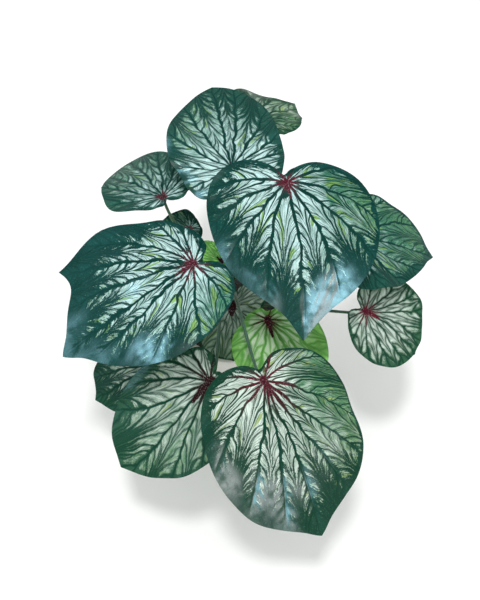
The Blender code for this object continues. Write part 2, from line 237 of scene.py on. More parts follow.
LEAVES = (
    Leaf(1, (2, 60, 296), 99, -14, 146,
         (144, 138, 127, 112, 90, 71, 61, 55, 52, 51, 48, 29,
          16, 34, 55, 53, 51, 56, 65, 77, 92, 108, 123, 136),
         root=(-8, 13), rise=120, arrive=50, point=6, bend=14, side=10, wave=2.5, waves=8,
         wave_start=57,
         ribs=((0, 0), (16, 9), (37, 30), (60, 55), (82, 78), (112, 106), (150, 145),
               (205, 215), (236, 240), (264, 282), (306, 320), (338, 344)),
         markings=Markings(margins=((0, 13), (20, 16), (45, 13), (75, 7), (180, 5), (240, 4),
                                    (270, 6), (320, 9), (345, 11)),
                           tone=(0.5, 330), crimson=(4, 2), hub_dark=1.0, pale=0.51, soft=0.4,
                           shine=(Shine(222, 285, 0.72, 1.0, 0.5), Shine(285, 320, 0.9, 1.0, 0.4)))),
    Leaf(2, (29, 154, 248), 19, -15, 55,
         (54, 51, 48, 43, 35, 32, 30, 30, 32, 34, 34, 25,
          18, 23, 33, 43, 53, 56, 53, 49, 52, 64, 59, 58),
         root=(1, 17), rise=90, arrive=50, roll=10, point=4, bend=8, wave=2.5, waves=7,
         corner=(333, 7),
         tint=Tint.FOREST,
         markings=Markings(margins=((0, 5), (90, 4), (180, 3), (270, 3)), tone=(0.75, 0),
                           crimson=(8, 3), pale=0.6, rib_width=1.0, soft=0.7,
                           shine=(Shine(200, 350, 0.3, 1.0, 0.5),))),
    Leaf(3, (-67, 47, 262), 150, -21, 87,
         (85, 89, 94, 98, 95, 88, 72, 50, 37, 30, 26, 23,
          10, 8, 10, 16, 22, 21, 30, 46, 55, 63, 70, 78),
         root=(-21, 8), rise=100, arrive=50, roll=-10, point=4, bend=10, wave=2, waves=7,
         wave_start=115,
         ribs=((-4, 0), (14, 12), (33, 30), (52, 49), (71, 69), (96, 92), (140, 132),
               (215, 222), (262, 268), (296, 302), (328, 334)),
         markings=Markings(margins=((0, 7), (45, 6), (90, 4), (180, 3), (270, 3), (330, 5)),
                           tone=(0.5, 20), crimson=(14, 3.4), hub_length=9, hub_dark=0.6,
                           rib_width=1.2, pale=0.38, soft=0.8,
                           shine=(Shine(-20, 60, 0.5, 1.0, 0.15),))),
    Leaf(4, (-42, 46, 205), 150, -11, 33,
         (34, 33, 32, 30, 29, 28, 21, 15, 13, 12, 12, 14,
          16, 18, 17, 11, 12, 15, 15, 17, 19, 21, 24, 29),
         root=(-15, 15.5), rise=45, arrive=30, point=2, bend=3, back=2, side=2, wave=0.8,
         waves=5,
         markings=Markings(margins=((0, 3), (90, 2), (180, 2), (270, 2)), tone=(0.8, 0),
                           crimson=(6, 2), rib_width=0.7, soft=0.5)),
    Leaf(5, (-34, -49, 290), -155, -21, 162,
         (161, 148, 140, 134, 140, 115, 77, 60, 41, 33, 25, 20,
          10, 12, 35, 50, 62, 71, 81, 97, 109, 119, 131, 143),
         root=(-16, -1), rise=110, arrive=60, point=10, bend=22, wave=3, waves=7, wave_start=29,
         corner=(32.5, 17),
         ribs=((0, 0), (22, 16), (40, 30), (64, 42), (86, 76), (106, 97), (142, 136),
               (215, 222), (248, 262), (293, 290), (321, 321), (346, 350)),
         markings=Markings(margins=((0, 16), (10, 24), (20, 32), (32, 36), (45, 26), (62, 11),
                                    (90, 6), (180, 4), (230, 5), (270, 3), (300, 3), (335, 7)),
                           tone=(0.95, 242), crimson=(26, 3), hub_length=20, hub_dark=0.45,
                           rib_width=1.6, lime=0.6, pale=0.64,
                           shine=(Shine(318, 334, 0.68, 0.96, 0.85), Shine(345, 368, 0.8, 1.0, 0.28),
                                  Shine(296, 312, 0.8, 1.0, 0.7),
                                  Shine(8, 20, 0.28, 0.46, 0.5)))),
    Leaf(6, (55, 8, 345), -82, -30, 153,
         (152, 130, 117, 109, 102, 93, 85, 78, 68, 50, 24, 9,
          8, 11, 18, 32, 47, 70, 90, 105, 116, 123, 128, 138),
         root=(-7.5, 3.5), rise=150, arrive=40, point=16, bend=22, wave=2.5, waves=6,
         ribs=((-8, 0), (28, 16), (54, 44), (82, 66), (107, 92), (150, 140),
               (210, 215), (248, 262), (276, 300), (302, 318), (326, 342)),
         markings=Markings(margins=((0, 26), (14, 30), (35, 17), (60, 16), (90, 10), (140, 5),
                                    (180, 2), (250, 8), (285, 5), (310, 4), (335, 7), (350, 12)),
                           tone=(0.95, 262), crimson=(20, 2.4), hub_length=15, hub_dark=0.3,
                           rib_width=1.7, lime=0.55, pale=0.64,
                           shine=(Shine(338, 359, 0.72, 0.97, 0.95, 12, 1), Shine(14, 50, 0.8, 1.0, 0.42)))),
    Leaf(7, (120, 0, 265), 11, -30, 118,
         (116, 102, 92, 83, 75, 70, 65, 63, 62, 53, 38, 23,
          12, 16, 24, 27, 32, 42, 60, 75, 82, 101, 111, 112),
         root=(-1, 9), rise=140, arrive=50, point=8, bend=16, wave=2.5, waves=7,
         markings=Markings(margins=((0, 10), (30, 14), (60, 15), (90, 12), (130, 5), (180, 4), (270, 4),
                                    (320, 3), (345, 5)),
                           tone=(0.9, 350), crimson=(16, 4), rib_width=1.5, pale=0.47, soft=0.4)),
    Leaf(8, (137, -53, 205), -31, -23, 70,
         (69, 67, 66, 64, 58, 53, 45, 34, 28, 21, 18, 9,
          6, 13, 23, 34, 41, 50, 62, 69, 65, 66, 69, 68),
         root=(8.5, 1), rise=18, arrive=15, point=4, bend=8, wave=2, waves=8,
         ribs=((-10, -2), (8, 16), (39, 28), (55, 54), (80, 80), (125, 120),
               (215, 222), (255, 250), (291, 282), (312, 302), (326, 318), (340, 346)),
         tint=Tint.FOREST,
         markings=Markings(margins=((0, 6), (30, 3), (60, 2), (90, 3), (180, 2), (225, 2),
                                    (270, 2), (330, 4), (350, 6)),
                           tone=(0.5, 200), crimson=(20, 3.2), hub_length=16, hub_dark=0.25,
                           rib_width=1.0, lime=0.15, pale=0.84, soft=0.9)),
    Leaf(9, (39, -50, 182), -66, -20, 89,
         (89, 83, 77, 71, 66, 61, 52, 41, 27, 22, 18, 15,
          12, 9, 10, 17, 27, 40, 52, 65, 74, 80, 84, 87),
         root=(8, -8), rise=20, arrive=42, point=6, bend=10, wave=2.5, waves=9, tint=Tint.FRESH,
         ribs=((6, 3), (30, 31), (63, 62), (95, 90), (140, 134), (215, 220), (250, 256),
               (292, 296), (320, 322), (334, 338), (349, 355)),
         markings=Markings(margins=((0, 8), (90, 6), (180, 4), (270, 11), (320, 12)),
                           tone=(0.2, 300), crimson=(26, 3.6), hub_length=18, hub_dark=0.75,
                           rib_width=1.5, lime=0.0, pale=0.62, soft=0.8)),
    Leaf(10, (2, -25, 166), -88, -18, 57,
         (57, 56, 56, 56, 53, 45, 24, 10, 6, 5, 5, 4,
          6, 20, 34, 38, 37, 31, 26, 26, 34, 44, 53, 56),
         root=(2, -18), rise=15, arrive=12, point=3, bend=6, wave=2, waves=7,
         ribs=((0, 0), (28, 24), (56, 52), (110, 104), (206, 208), (222, 223), (239, 240),
               (262, 266), (300, 306), (332, 338)),
         tint=Tint.FOREST,
         # Pale share raised so the patches cover nearly the whole blade: partly its own pale mottling,
         # partly painted light that lifts it out of the shade of the blades above
         markings=Markings(margins=((0, 2), (90, 2), (180, 2), (270, 2)), tone=(0.25, 0),
                           crimson=(16, 6), hub_length=8, hub_dark=1.0, rib_width=0.5, pale=1.9,
                           soft=1.0)),
    Leaf(11, (34, -147, 235), -64, -33, 167,
         (166, 156, 148, 139, 122, 104, 85, 71, 60, 45, 30, 18,
          12, 17, 29, 40, 53, 66, 78, 92, 120, 136, 143, 152),
         root=(-0.5, 1.5), rise=130, arrive=45, point=8, bend=20, wave=3, waves=7,
         wave_start=115,
         ribs=((-5, 0), (7, 12), (21, 28), (61, 52), (97, 86), (128, 118), (155, 150),
               (210, 215), (244, 270), (298, 314), (329, 328), (343, 342)),
         tint=Tint.FOREST,
         markings=Markings(margins=((0, 18), (20, 13), (45, 16), (70, 13), (110, 9), (140, 5), (180, 3),
                                    (240, 3), (270, 2), (315, 2), (335, 4), (348, 12)),
                           tone=(0.95, 285), crimson=(50, 4), hub_length=14, hub_dark=0.6,
                           rib_width=1.6, lime=0.45, pale=0.66,
                           shine=(Shine(36, 60, 0.74, 1.0, 0.75), Shine(10, 28, 0.6, 0.98, 0.6, 5, 5),
                                  Shine(-4, 4, 0.58, 0.74, 0.35, 5, 5), Shine(322, 345, 0.55, 0.74, 0.2)))),
    Leaf(12, (-19, -132, 205), -146, -25, 128,
         (128, 123, 119, 109, 96, 79, 58, 45, 39, 33, 23, 11,
          14, 17, 23, 28, 38, 53, 68, 83, 97, 105, 114, 121),
         root=(-8.5, -4.5), rise=120, arrive=22, point=6, bend=18, wave=2.5, waves=7,
         ribs=((-9, -6), (12, 26), (51, 37), (72, 66), (96, 95), (140, 135),
               (215, 220), (250, 258), (282, 290), (308, 312), (332, 332)),
         tint=Tint.FOREST,
         markings=Markings(margins=((0, 6), (20, 14), (45, 10), (75, 6), (105, 7), (150, 5),
                                    (180, 3), (270, 3), (320, 3), (345, 5)),
                           tone=(0.5, 330), crimson=(36, 5.2), hub_length=26, hub_dark=1.4,
                           rib_width=1.6, lime=0.25, pale=0.68, soft=0.6,
                           shine=(Shine(40, 90, 0.82, 1.0, 0.25),))),
    Leaf(13, (-80, -87, 150), -161, -24, 74,
         (73, 69, 68, 70, 67, 59, 39, 25, 21, 17, 15, 11,
          8, 9, 13, 19, 26, 30, 36, 46, 54, 60, 64, 68),
         root=(-15, -10), rise=40, arrive=30, point=4, bend=8, wave=2, waves=6,
         tint=Tint.FOREST,
         markings=Markings(margins=((0, 9), (45, 8), (90, 4), (180, 3), (270, 4), (330, 8)),
                           tone=(0.3, 0), crimson=(12, 4), hub_dark=1.0, rib_width=1.3,
                           pale=0.6, soft=0.3)),
    Leaf(14, (-8, 2, 212), 136, -3, 38,
         (37, 34, 31, 27, 22, 16, 12, 8, 6, 6, 6, 6,
          7, 6, 7, 12, 16, 18, 20, 22, 25, 28, 31, 34),
         root=(-14, 6.5), rise=30, arrive=20, point=3, bend=3, back=3, side=3, wave=1, waves=6,
         tint=Tint.FRESH,
         markings=Markings(margins=((0, 9), (90, 6), (180, 4), (270, 6)), tone=(0.9, 0),
                           crimson=(4, 2.5), hub_dark=0.6, rib_width=0.8, lime=0.3, pale=0.2)),
)


# Nodes


class Wire:
    """A value in a node tree, which plain arithmetic turns into Math nodes."""

    def __init__(self, sketch: "NodeSketch", socket: Socket) -> None:
        """Keep the socket and the helper that made it."""
        self.sketch = sketch
        self.socket = socket

    def __add__(self, other: Feed) -> "Wire":
        """Add another value."""
        return self.sketch.math("ADD", self, other)

    def __sub__(self, other: Feed) -> "Wire":
        """Take another value away."""
        return self.sketch.math("SUBTRACT", self, other)

    def __rsub__(self, other: Feed) -> "Wire":
        """Take this value away from a number."""
        return self.sketch.math("SUBTRACT", other, self)

    def __mul__(self, other: Feed) -> "Wire":
        """Multiply by another value."""
        return self.sketch.math("MULTIPLY", self, other)

    def __truediv__(self, other: Feed) -> "Wire":
        """Divide by another value."""
        return self.sketch.math("DIVIDE", self, other)


class NodeSketch:
    """Lays shader nodes in a tree and links them, one short call each."""

    def __init__(self, tree: bpy.types.NodeTree) -> None:
        """Work on the given tree."""
        self.tree = tree

    def node(self, kind: str, **settings: object) -> bpy.types.Node:
        """Add a node and set its plain properties.

        Args:
            kind: the node's type name.
            settings: properties of the node by name.

        Returns:
            The new node.
        """
        made = self.tree.nodes.new(kind)
        for name, value in settings.items():
            setattr(made, name, value)
        return made

    def feed(self, socket: Socket, value: Feed) -> None:
        """Link a socket to a wire, or set its value.

        Args:
            socket: the input.
            value: a wire, a number or a tuple.
        """
        if isinstance(value, Wire):
            self.tree.links.new(value.socket, socket)
        elif isinstance(value, tuple) and len(value) == 3 and socket.type == "RGBA":
            socket.default_value = (*value, 1.0)
        else:
            socket.default_value = value

    def fill(self, made: bpy.types.Node, values: dict) -> None:
        """Feed a node's inputs by their names or numbers."""
        for key, value in values.items():
            self.feed(made.inputs[key], value)

    def wired(self, made: bpy.types.Node, values: dict, out: int | str = 0) -> Wire:
        """Feed a node's inputs and take one of its outputs.

        Args:
            made: the node.
            values: what to feed, by the input's name or number.
            out: the output's name or number.

        Returns:
            The output's wire.
        """
        self.fill(made, values)
        return Wire(self, made.outputs[out])

    def math(self, operation: str, *values: Feed, clamp: bool = False) -> Wire:
        """Add a Math node.

        Args:
            operation: the node's operation.
            values: its inputs in order.
            clamp: keep the result from 0 to 1.

        Returns:
            The result's wire.
        """
        made = self.node("ShaderNodeMath", operation=operation, use_clamp=clamp)
        return self.wired(made, dict(enumerate(values)))

    def vector(self, operation: str, *values: Feed) -> Wire:
        """Add a Vector Math node and return its vector."""
        made = self.node("ShaderNodeVectorMath", operation=operation)
        return self.wired(made, dict(enumerate(values)), "Vector")

    def scaled(self, vector: Feed, factor: float) -> Wire:
        """Multiply a vector by one number."""
        made = self.node("ShaderNodeVectorMath", operation="SCALE")
        return self.wired(made, {0: vector, "Scale": factor}, "Vector")

    def combine(self, x: Feed, y: Feed, z: Feed = 0.0) -> Wire:
        """Join three numbers into a vector."""
        return self.wired(self.node("ShaderNodeCombineXYZ"), {0: x, 1: y, 2: z})

    def split(self, vector: Feed) -> tuple[Wire, Wire, Wire]:
        """Take a vector apart.

        Args:
            vector: the vector.

        Returns:
            Its three numbers.
        """
        made = self.node("ShaderNodeSeparateXYZ")
        self.feed(made.inputs[0], vector)
        return tuple(Wire(self, out) for out in made.outputs)

    def rise(self, value: Feed, low: Feed, high: Feed) -> Wire:
        """Rise smoothly from 0 where value is low to 1 where it is high."""
        made = self.node("ShaderNodeMapRange", interpolation_type="SMOOTHSTEP")
        return self.wired(made, {"Value": value, "From Min": low, "From Max": high})

    def fall(self, value: Feed, low: Feed, high: Feed) -> Wire:
        """Fall smoothly from 1 where value is low to 0 where it is high."""
        return 1.0 - self.rise(value, low, high)

    def line(self, away: Wire, half: Feed, soft: Feed) -> Wire:
        """Mark a line by the distance from its middle, its half width and its soft edge."""
        return self.fall(away - half, soft * -0.4, soft)

    def between(self, share: Feed, low: Feed, high: Feed) -> Wire:
        """Mix two numbers."""
        made = self.node("ShaderNodeMix", data_type="FLOAT")
        return self.wired(made, {0: share, 2: low, 3: high})

    def blend(self, share: Feed, under: Feed, over: Feed, kind: str = "MIX") -> Wire:
        """Mix two colours.

        Args:
            share: how far the result goes to the second colour.
            under, over: the colours, as wires or plain values.
            kind: the way of mixing.

        Returns:
            The mixed colour's wire.
        """
        made = self.node("ShaderNodeMix", data_type="RGBA", blend_type=kind)
        return self.wired(made, {0: share, 6: under, 7: over}, 2)

    def noise(self, vector: Feed, scale: float, detail: float = 2.0,
              rough: float = 0.5) -> Wire:
        """Add a noise texture and return its value, about 0.5 on average.

        Args:
            vector: where to read it.
            scale: its cells in each unit of the vector.
            detail: how many finer layers it has.
            rough: how strong the finer layers are.

        Returns:
            The noise's wire.
        """
        made = self.node("ShaderNodeTexNoise")
        values = {"Vector": vector, "Scale": scale, "Detail": detail, "Roughness": rough}
        return self.wired(made, values, "Fac")

    def drift(self, vector: Feed, scale: float, detail: float = 1.0) -> tuple[Wire, Wire, Wire]:
        """Read three separate noises that swing about zero.

        Args:
            vector: where to read them.
            scale: their cells in each unit of the vector.
            detail: how many finer layers they have.

        Returns:
            The three noises.
        """
        made = self.node("ShaderNodeTexNoise")
        colour = self.wired(made, {"Vector": vector, "Scale": scale, "Detail": detail}, "Color")
        return self.split(self.vector("SUBTRACT", colour, (0.5, 0.5, 0.5)))

    def dice(self, x: Feed, y: Feed, z: Feed = 0.0) -> Wire:
        """Read a random number that belongs to three whole numbers."""
        made = self.node("ShaderNodeTexWhiteNoise", noise_dimensions="3D")
        return self.wired(made, {"Vector": self.combine(x, y, z)}, "Value")


@dataclass
class Flow:
    """Where a point of the blade lies, as wires in the pattern's tree, in millimetres.

    spot: its place on the object
    aside, along: distances beside the nearest main vein and along it, a little bent
    radius: distance from the joint
    rib, line: number of the main vein, and random number of this side of it
    sector: 0 on a main vein and 1 midway to the next
    hub: distance from the red hub's line
    soft: how far the patches' edges melt away
    share: share of the way to the edge
    edge: distance from the edge, in widths of the dark band
    tone: how green the patches are
    width: half width of the main vein
    count, gap: side veins counted along the main vein, and the distance between two
    streak, blotch, speck, ragged: noises that break the pattern up
    """

    spot: Wire
    aside: Wire
    along: Wire
    radius: Wire
    rib: Wire
    line: Wire
    sector: Wire
    hub: Wire
    soft: Wire
    share: Wire
    edge: Wire
    tone: Wire
    width: Wire
    count: Wire
    gap: Wire
    streak: Wire
    blotch: Wire
    speck: Wire
    ragged: Wire


class VeinPattern:
    """Node group that draws a blade's veins, pale patches, dark edge and red arms.

    INPUTS, OUTPUTS: names of the group's sockets, by their kind
    LEAN, CURL: how far side veins lean towards the edge, and how much more between two main veins
    """

    INPUTS: ClassVar[dict] = {
        "NodeSocketVector": ("Vein", "Place", "Position"),
        "NodeSocketFloat": ("Sector", "Hub Distance", "Rib Width", "Spacing", "Pale Share",
                            "Lime Share", "Softness", "Arm Length", "Hub Radius",
                            "Hub Darkness"),
        "NodeSocketColor": ("Dark", "Vein Colour", "Pale", "Green Patch", "Lime", "Crimson",
                            "Maroon"),
    }
    OUTPUTS: ClassVar[dict] = {
        "NodeSocketColor": ("Colour",),
        "NodeSocketFloat": ("Relief", "Veins"),
    }
    LEAN: ClassVar[float] = 0.9
    CURL: ClassVar[float] = 1.4

    def build(self) -> bpy.types.NodeTree:
        """Make the group.

        Returns:
            The node group, with the inputs and outputs named above.
        """
        tree = bpy.data.node_groups.new("leaf_vein_pattern", "ShaderNodeTree")
        for way, sockets in (("INPUT", self.INPUTS), ("OUTPUT", self.OUTPUTS)):
            for kind, names in sockets.items():
                for name in names:
                    tree.interface.new_socket(name, in_out=way, socket_type=kind)
        sketch = NodeSketch(tree)
        source = sketch.node("NodeGroupInput").outputs
        given = {name: Wire(sketch, source[name]) for names in self.INPUTS.values() for name in names}
        sketch.fill(sketch.node("NodeGroupOutput"), self.draw(sketch, given))
        return tree

    def draw(self, sketch: NodeSketch, given: dict[str, Wire]) -> dict[str, Wire]:
        """Lay the pattern's nodes.

        Args:
            sketch: the group's node helper.
            given: the group's inputs by name.

        Returns:
            The group's outputs by name.
        """
        flow = self.follow(sketch, given)
        ribs = sketch.line(flow.aside, flow.width, flow.soft * 1.3 + 0.45)
        sides, body = self.side_veins(sketch, flow)
        veins = sketch.math("MAXIMUM", ribs, sides)
        threads = self.threads(sketch, flow)
        net = self.net(sketch, flow)
        patches = self.patches(sketch, given, flow, body) * (1.0 - veins) * (1.0 - threads * 0.75)
        shade = sketch.noise(flow.spot, 1 / 14.0, 3.0)
        ground = sketch.blend(sketch.rise(shade, 0.35, 0.7), given["Dark"], given["Vein Colour"])
        ground = sketch.blend(sketch.rise(flow.speck, 0.5, 0.85) * 0.35, ground,
                              given["Green Patch"])
        ground = sketch.blend(flow.soft * 0.3, ground, given["Green Patch"])
        ground = sketch.blend(veins, ground, given["Vein Colour"])
        colour = sketch.blend(patches, ground, self.patch_colour(sketch, given, flow, net))
        red, red_colour = self.red(sketch, given, flow, sides)
        colour = sketch.blend(red, colour, red_colour)
        relief = body * 0.5 - veins * 0.8 - net * 0.2 - threads * 0.15 + flow.speck * 0.12
        return {"Colour": colour, "Relief": relief, "Veins": veins}

    def follow(self, sketch: NodeSketch, given: dict[str, Wire]) -> Flow:
        """Bend the stored places a little, as a living blade's veins wander.

        Args:
            sketch: the group's node helper.
            given: the group's inputs by name.

        Returns:
            The wires that the other methods read.
        """
        across, along, ticket = sketch.split(given["Vein"])
        edge, share, tone = sketch.split(given["Place"])
        spot = given["Position"]
        sway = sketch.drift(spot, 1 / 26.0)
        curl = sketch.drift(spot, 1 / 11.0)
        shiver = sketch.drift(spot, 1 / 4.5, 2.0)
        free = sketch.rise(along, 2.0, 30.0)
        radius = sketch.math("SQRT", across * across + along * along)
        rib = sketch.math("FLOOR", ticket)
        line = sketch.math("FRACT", ticket)
        across = across + free * (sway[0] * 8.0 + curl[0] * 4.0) + shiver[0] * 0.9
        along = along + sway[1] * 14.0 + curl[1] * 7.0 + shiver[1] * 1.8
        aside = sketch.math("ABSOLUTE", across)
        swell = sketch.rise(along, 2.0, 26.0) * 0.5 + 0.5
        width = given["Rib Width"] * swell * sketch.between(share, 1.0, 0.3)
        spacing, sector = given["Spacing"], given["Sector"]
        curve = sector * sector * sector * self.CURL
        count = (along - aside * (curve + self.LEAN)) / spacing + line
        slope = curve * 4.0 + self.LEAN
        gap = spacing / sketch.math("SQRT", slope * slope + 1.0)
        streak = sketch.noise(sketch.combine(count * spacing * 0.2, radius * 0.1,
                                             ticket * 40.0), 1.0, 4.0, 0.58)
        return Flow(spot=spot, aside=aside, along=along, radius=radius, rib=rib, line=line,
                    sector=sector, hub=given["Hub Distance"], soft=given["Softness"],
                    share=share, edge=edge, tone=tone, width=width, count=count, gap=gap,
                    streak=streak, blotch=sketch.noise(spot, 1 / 10.0, 2.0),
                    speck=sketch.noise(spot, 1 / 1.5, 2.0), ragged=shiver[2])

    def side_veins(self, sketch: NodeSketch, flow: Flow) -> tuple[Wire, Wire]:
        """Draw the veins that leave each main vein, and the forks they make.

        Args:
            sketch: the group's node helper.
            flow: the bent places.

        Returns:
            The veins' mask, and how far a point lies inside a pillow between them.
        """
        number = sketch.math("FLOOR", flow.count)
        part = sketch.math("FRACT", flow.count)
        chance = sketch.dice(number, flow.line * 97.0, 3.0)
        other = sketch.dice(number, flow.line * 97.0, 11.0)
        offset = chance * 0.5 + 0.25
        away = sketch.math("ABSOLUTE", part - offset) * flow.gap
        fine = (other * 0.75 + 0.3) * sketch.between(flow.share, 1.0, 0.75)
        fine = fine - sketch.rise(flow.sector - chance * 0.4, 0.5, 0.95) * 0.55
        fine = fine * (1.0 - flow.soft * 0.45)
        blur = flow.soft * 2.2 + 0.4
        main = sketch.line(away, fine, blur)
        fork_at = other * 13.0 + 2.0
        spread = sketch.rise(flow.aside - fork_at, 0.0, 12.0) * 0.45
        swing = sketch.between(sketch.math("GREATER_THAN", chance, 0.5), 1.0, -1.0)
        fork_away = sketch.math("ABSOLUTE", part - offset - spread * swing) * flow.gap
        forks = sketch.line(fork_away, fine * 0.7, blur)
        forks = forks * sketch.math("GREATER_THAN", flow.aside, fork_at)
        body = sketch.rise(sketch.math("MINIMUM", away, fork_away), 0.2, 2.4)
        return sketch.math("MAXIMUM", main, forks), body

    def threads(self, sketch: NodeSketch, flow: Flow) -> Wire:
        """Draw the thinnest lines, which run with the side veins and come and go.

        Args:
            sketch: the group's node helper.
            flow: the bent places.

        Returns:
            The lines' mask.
        """
        number = flow.count * 4.4 + flow.blotch * 1.6
        away = sketch.math("ABSOLUTE", sketch.math("FRACT", number) - 0.5) * flow.gap * 0.227
        seen = sketch.rise(sketch.dice(sketch.math("FLOOR", number), flow.rib, 5.0)
                           + flow.streak - 0.5, 0.2, 0.55)
        seen = seen * sketch.fall(flow.sector, 0.55, 0.88) * (1.0 - flow.soft * 0.85)
        return sketch.line(away, 0.2, 0.34) * seen

    def net(self, sketch: NodeSketch, flow: Flow) -> Wire:
        """Draw the fine net of veins.

        Args:
            sketch: the group's node helper.
            flow: the bent places.

        Returns:
            The net's mask.
        """
        made = sketch.node("ShaderNodeTexVoronoi", feature="DISTANCE_TO_EDGE")
        cell = sketch.combine(flow.count * flow.gap * 0.3, flow.aside * 0.16, flow.rib * 20.0)
        miss = sketch.wired(made, {"Vector": cell, "Scale": 1.0}, "Distance")
        return sketch.fall(miss, 0.03, 0.12)

    def patches(self, sketch: NodeSketch, given: dict[str, Wire], flow: Flow,
                body: Wire) -> Wire:
        """Mark the pale patches: nearly whole by the joint, streaks and flecks farther out.

        Args:
            sketch: the group's node helper.
            given: the group's inputs by name.
            flow: the bent places.
            body: how far a point lies from the side veins.

        Returns:
            The patches' mask.
        """
        green = sketch.rise(flow.tone, 0.3, 0.8)
        outer = sketch.rise(flow.share, 0.22, 0.72) * (1.0 - green * 0.8)
        firm = 1.0 - flow.soft * 0.16
        cover = given["Pale Share"] * (2.3 - flow.share * firm * 2.1) + green * 0.9
        cover = cover + (flow.blotch - 0.5) * 0.65
        cover = cover - (1.0 - body) * (1.0 - green * 0.7) * firm * (flow.share * 0.32 + 0.12)
        beside = flow.width + 0.7 + sketch.rise(flow.share, 0.3, 0.95) * 4.0
        cover = cover - sketch.fall(flow.aside, flow.width * 0.7, beside) * 0.5
        inside = flow.edge + (flow.blotch - 0.5) * 1.7 + (flow.streak - 0.5) * 1.4
        inside = sketch.rise(inside, 0.3, 1.3)
        cover = sketch.math("MULTIPLY", cover, inside, clamp=True)
        need = 0.74 - cover * 0.5
        grain = flow.share * 0.26 + 0.16
        hatch = sketch.combine(flow.count * given["Spacing"] * 0.62, flow.radius * 0.14,
                               flow.line * 61.0)
        hatch = sketch.noise(hatch, 1.0, 3.0, 0.6)
        value = flow.streak + (hatch - flow.streak) * outer * 0.8
        value = (value - 0.5) * (outer * 0.7 + 1.0) + 0.5
        value = value + (flow.speck - value) * grain
        cloud = sketch.noise(flow.spot, 1 / 6.5, 2.0)
        value = value + (cloud - value) * flow.soft * 0.65 - need
        patch = sketch.rise(value, flow.soft * -0.11 - 0.055, flow.soft * 0.15 + 0.075)
        return patch * (1.0 - flow.share * 0.15)

    def patch_colour(self, sketch: NodeSketch, given: dict[str, Wire], flow: Flow,
                     net: Wire) -> Wire:
        """Colour the patches from near white to green, with a few lime threads.

        Args:
            sketch: the group's node helper.
            given: the group's inputs by name.
            flow: the bent places.
            net: the fine net's mask.

        Returns:
            The patches' colour.
        """
        hue = flow.tone * 1.25 + flow.share * 0.4 - 0.24 + (flow.blotch - 0.5) * 1.5
        hue = sketch.math("SUBTRACT", hue, (flow.streak - 0.45) * 1.4, clamp=True)
        colour = sketch.blend(hue, given["Pale"], given["Green Patch"])
        lot = sketch.noise(sketch.combine(flow.count * 0.9, flow.aside * 0.05,
                                          flow.rib * 9.0), 1.0, 1.0)
        gate = 0.74 - given["Lime Share"] * 0.22
        colour = sketch.blend(sketch.rise(lot - gate, 0.0, 0.04) * 0.9, colour, given["Lime"])
        fleck = sketch.rise(flow.share, 0.45, 0.95) * sketch.rise(flow.speck, 0.4, 0.65)
        colour = sketch.blend(fleck * given["Lime Share"] * 0.9, colour, given["Lime"])
        strength = sketch.math("ADD", flow.tone * 0.6, 0.16, clamp=True)
        return sketch.blend(net * strength, colour, given["Vein Colour"])

    def red(self, sketch: NodeSketch, given: dict[str, Wire], flow: Flow,
            sides: Wire) -> tuple[Wire, Wire]:
        """Mark and colour the red hub, and its arms along the main veins.

        Args:
            sketch: the group's node helper.
            given: the group's inputs by name.
            flow: the bent places.
            sides: the side veins' mask.

        Returns:
            The red parts' mask and their colour.
        """
        length, hub_radius = given["Arm Length"], given["Hub Radius"]
        chance = sketch.dice(flow.rib, 5.0, 2.0)
        reach = length * (chance * 0.75 + 0.55)
        ragged = flow.along + (flow.streak - 0.5) * 9.0
        near = sketch.fall(ragged, reach * 0.3, reach)
        taper = sketch.fall(flow.along, 2.0, reach) * 0.55 + 0.35
        arms = near * sketch.line(flow.aside, flow.width * taper + 0.2, 0.5)
        core = sketch.line(flow.aside, flow.width * 0.2, 0.3)
        arms = arms * (1.0 - core * sketch.rise(flow.along, 5.0, reach + 1.0) * 0.8)
        twigs = sides * sketch.fall(flow.radius, reach * 0.2, reach * 0.8) * 0.75
        twigs = twigs * sketch.fall(flow.aside, 1.5, 7.0)
        rough = flow.ragged * 6.0 + (flow.speck - 0.5) * 2.2
        hub = sketch.fall(flow.hub + rough, hub_radius * 0.7, hub_radius * 1.25)
        mask = sketch.math("MAXIMUM", sketch.math("MAXIMUM", arms, hub), twigs)
        mottle = (flow.speck - 0.5) * 2.2 + given["Hub Darkness"]
        mottle = mottle + sketch.rise(flow.along, reach * 0.4, reach * 1.1) * 0.35
        mottle = sketch.math("ADD", mottle, 0.0, clamp=True)
        colour = sketch.blend(mottle, given["Crimson"], given["Maroon"])
        pink = sketch.rise(sketch.noise(flow.spot, 1 / 1.1, 1.0), 0.6, 0.72) * 0.22
        return mask, sketch.blend(pink, colour, given["Pale"])


# Finishes


def new_material(name: str) -> tuple[bpy.types.Material, NodeSketch, bpy.types.Node]:
    """Start a material with its Principled shader.

    Args:
        name: the material's name.

    Returns:
        The material, a node helper for its tree, and the shader.
    """
    material = bpy.data.materials.new(name)
    material.use_nodes = True
    shader = material.node_tree.nodes["Principled BSDF"]
    return material, NodeSketch(material.node_tree), shader


def position(sketch: NodeSketch) -> Wire:
    """Read the place on the object, in millimetres."""
    spot = sketch.wired(sketch.node("ShaderNodeTexCoord"), {}, "Object")
    return sketch.scaled(spot, 1000.0)


def stored(sketch: NodeSketch, name: str) -> Wire:
    """Read a vector that is stored on the mesh."""
    return sketch.wired(sketch.node("ShaderNodeAttribute", attribute_name=name), {}, "Vector")


def bump(sketch: NodeSketch, height: Feed, distance: float) -> Wire:
    """Turn a height into a normal.

    Args:
        sketch: the material's node helper.
        height: the height's wire.
        distance: metres that a height of one stands for.

    Returns:
        The normal's wire.
    """
    made = sketch.node("ShaderNodeBump")
    return sketch.wired(made, {"Distance": distance, "Height": height}, "Normal")


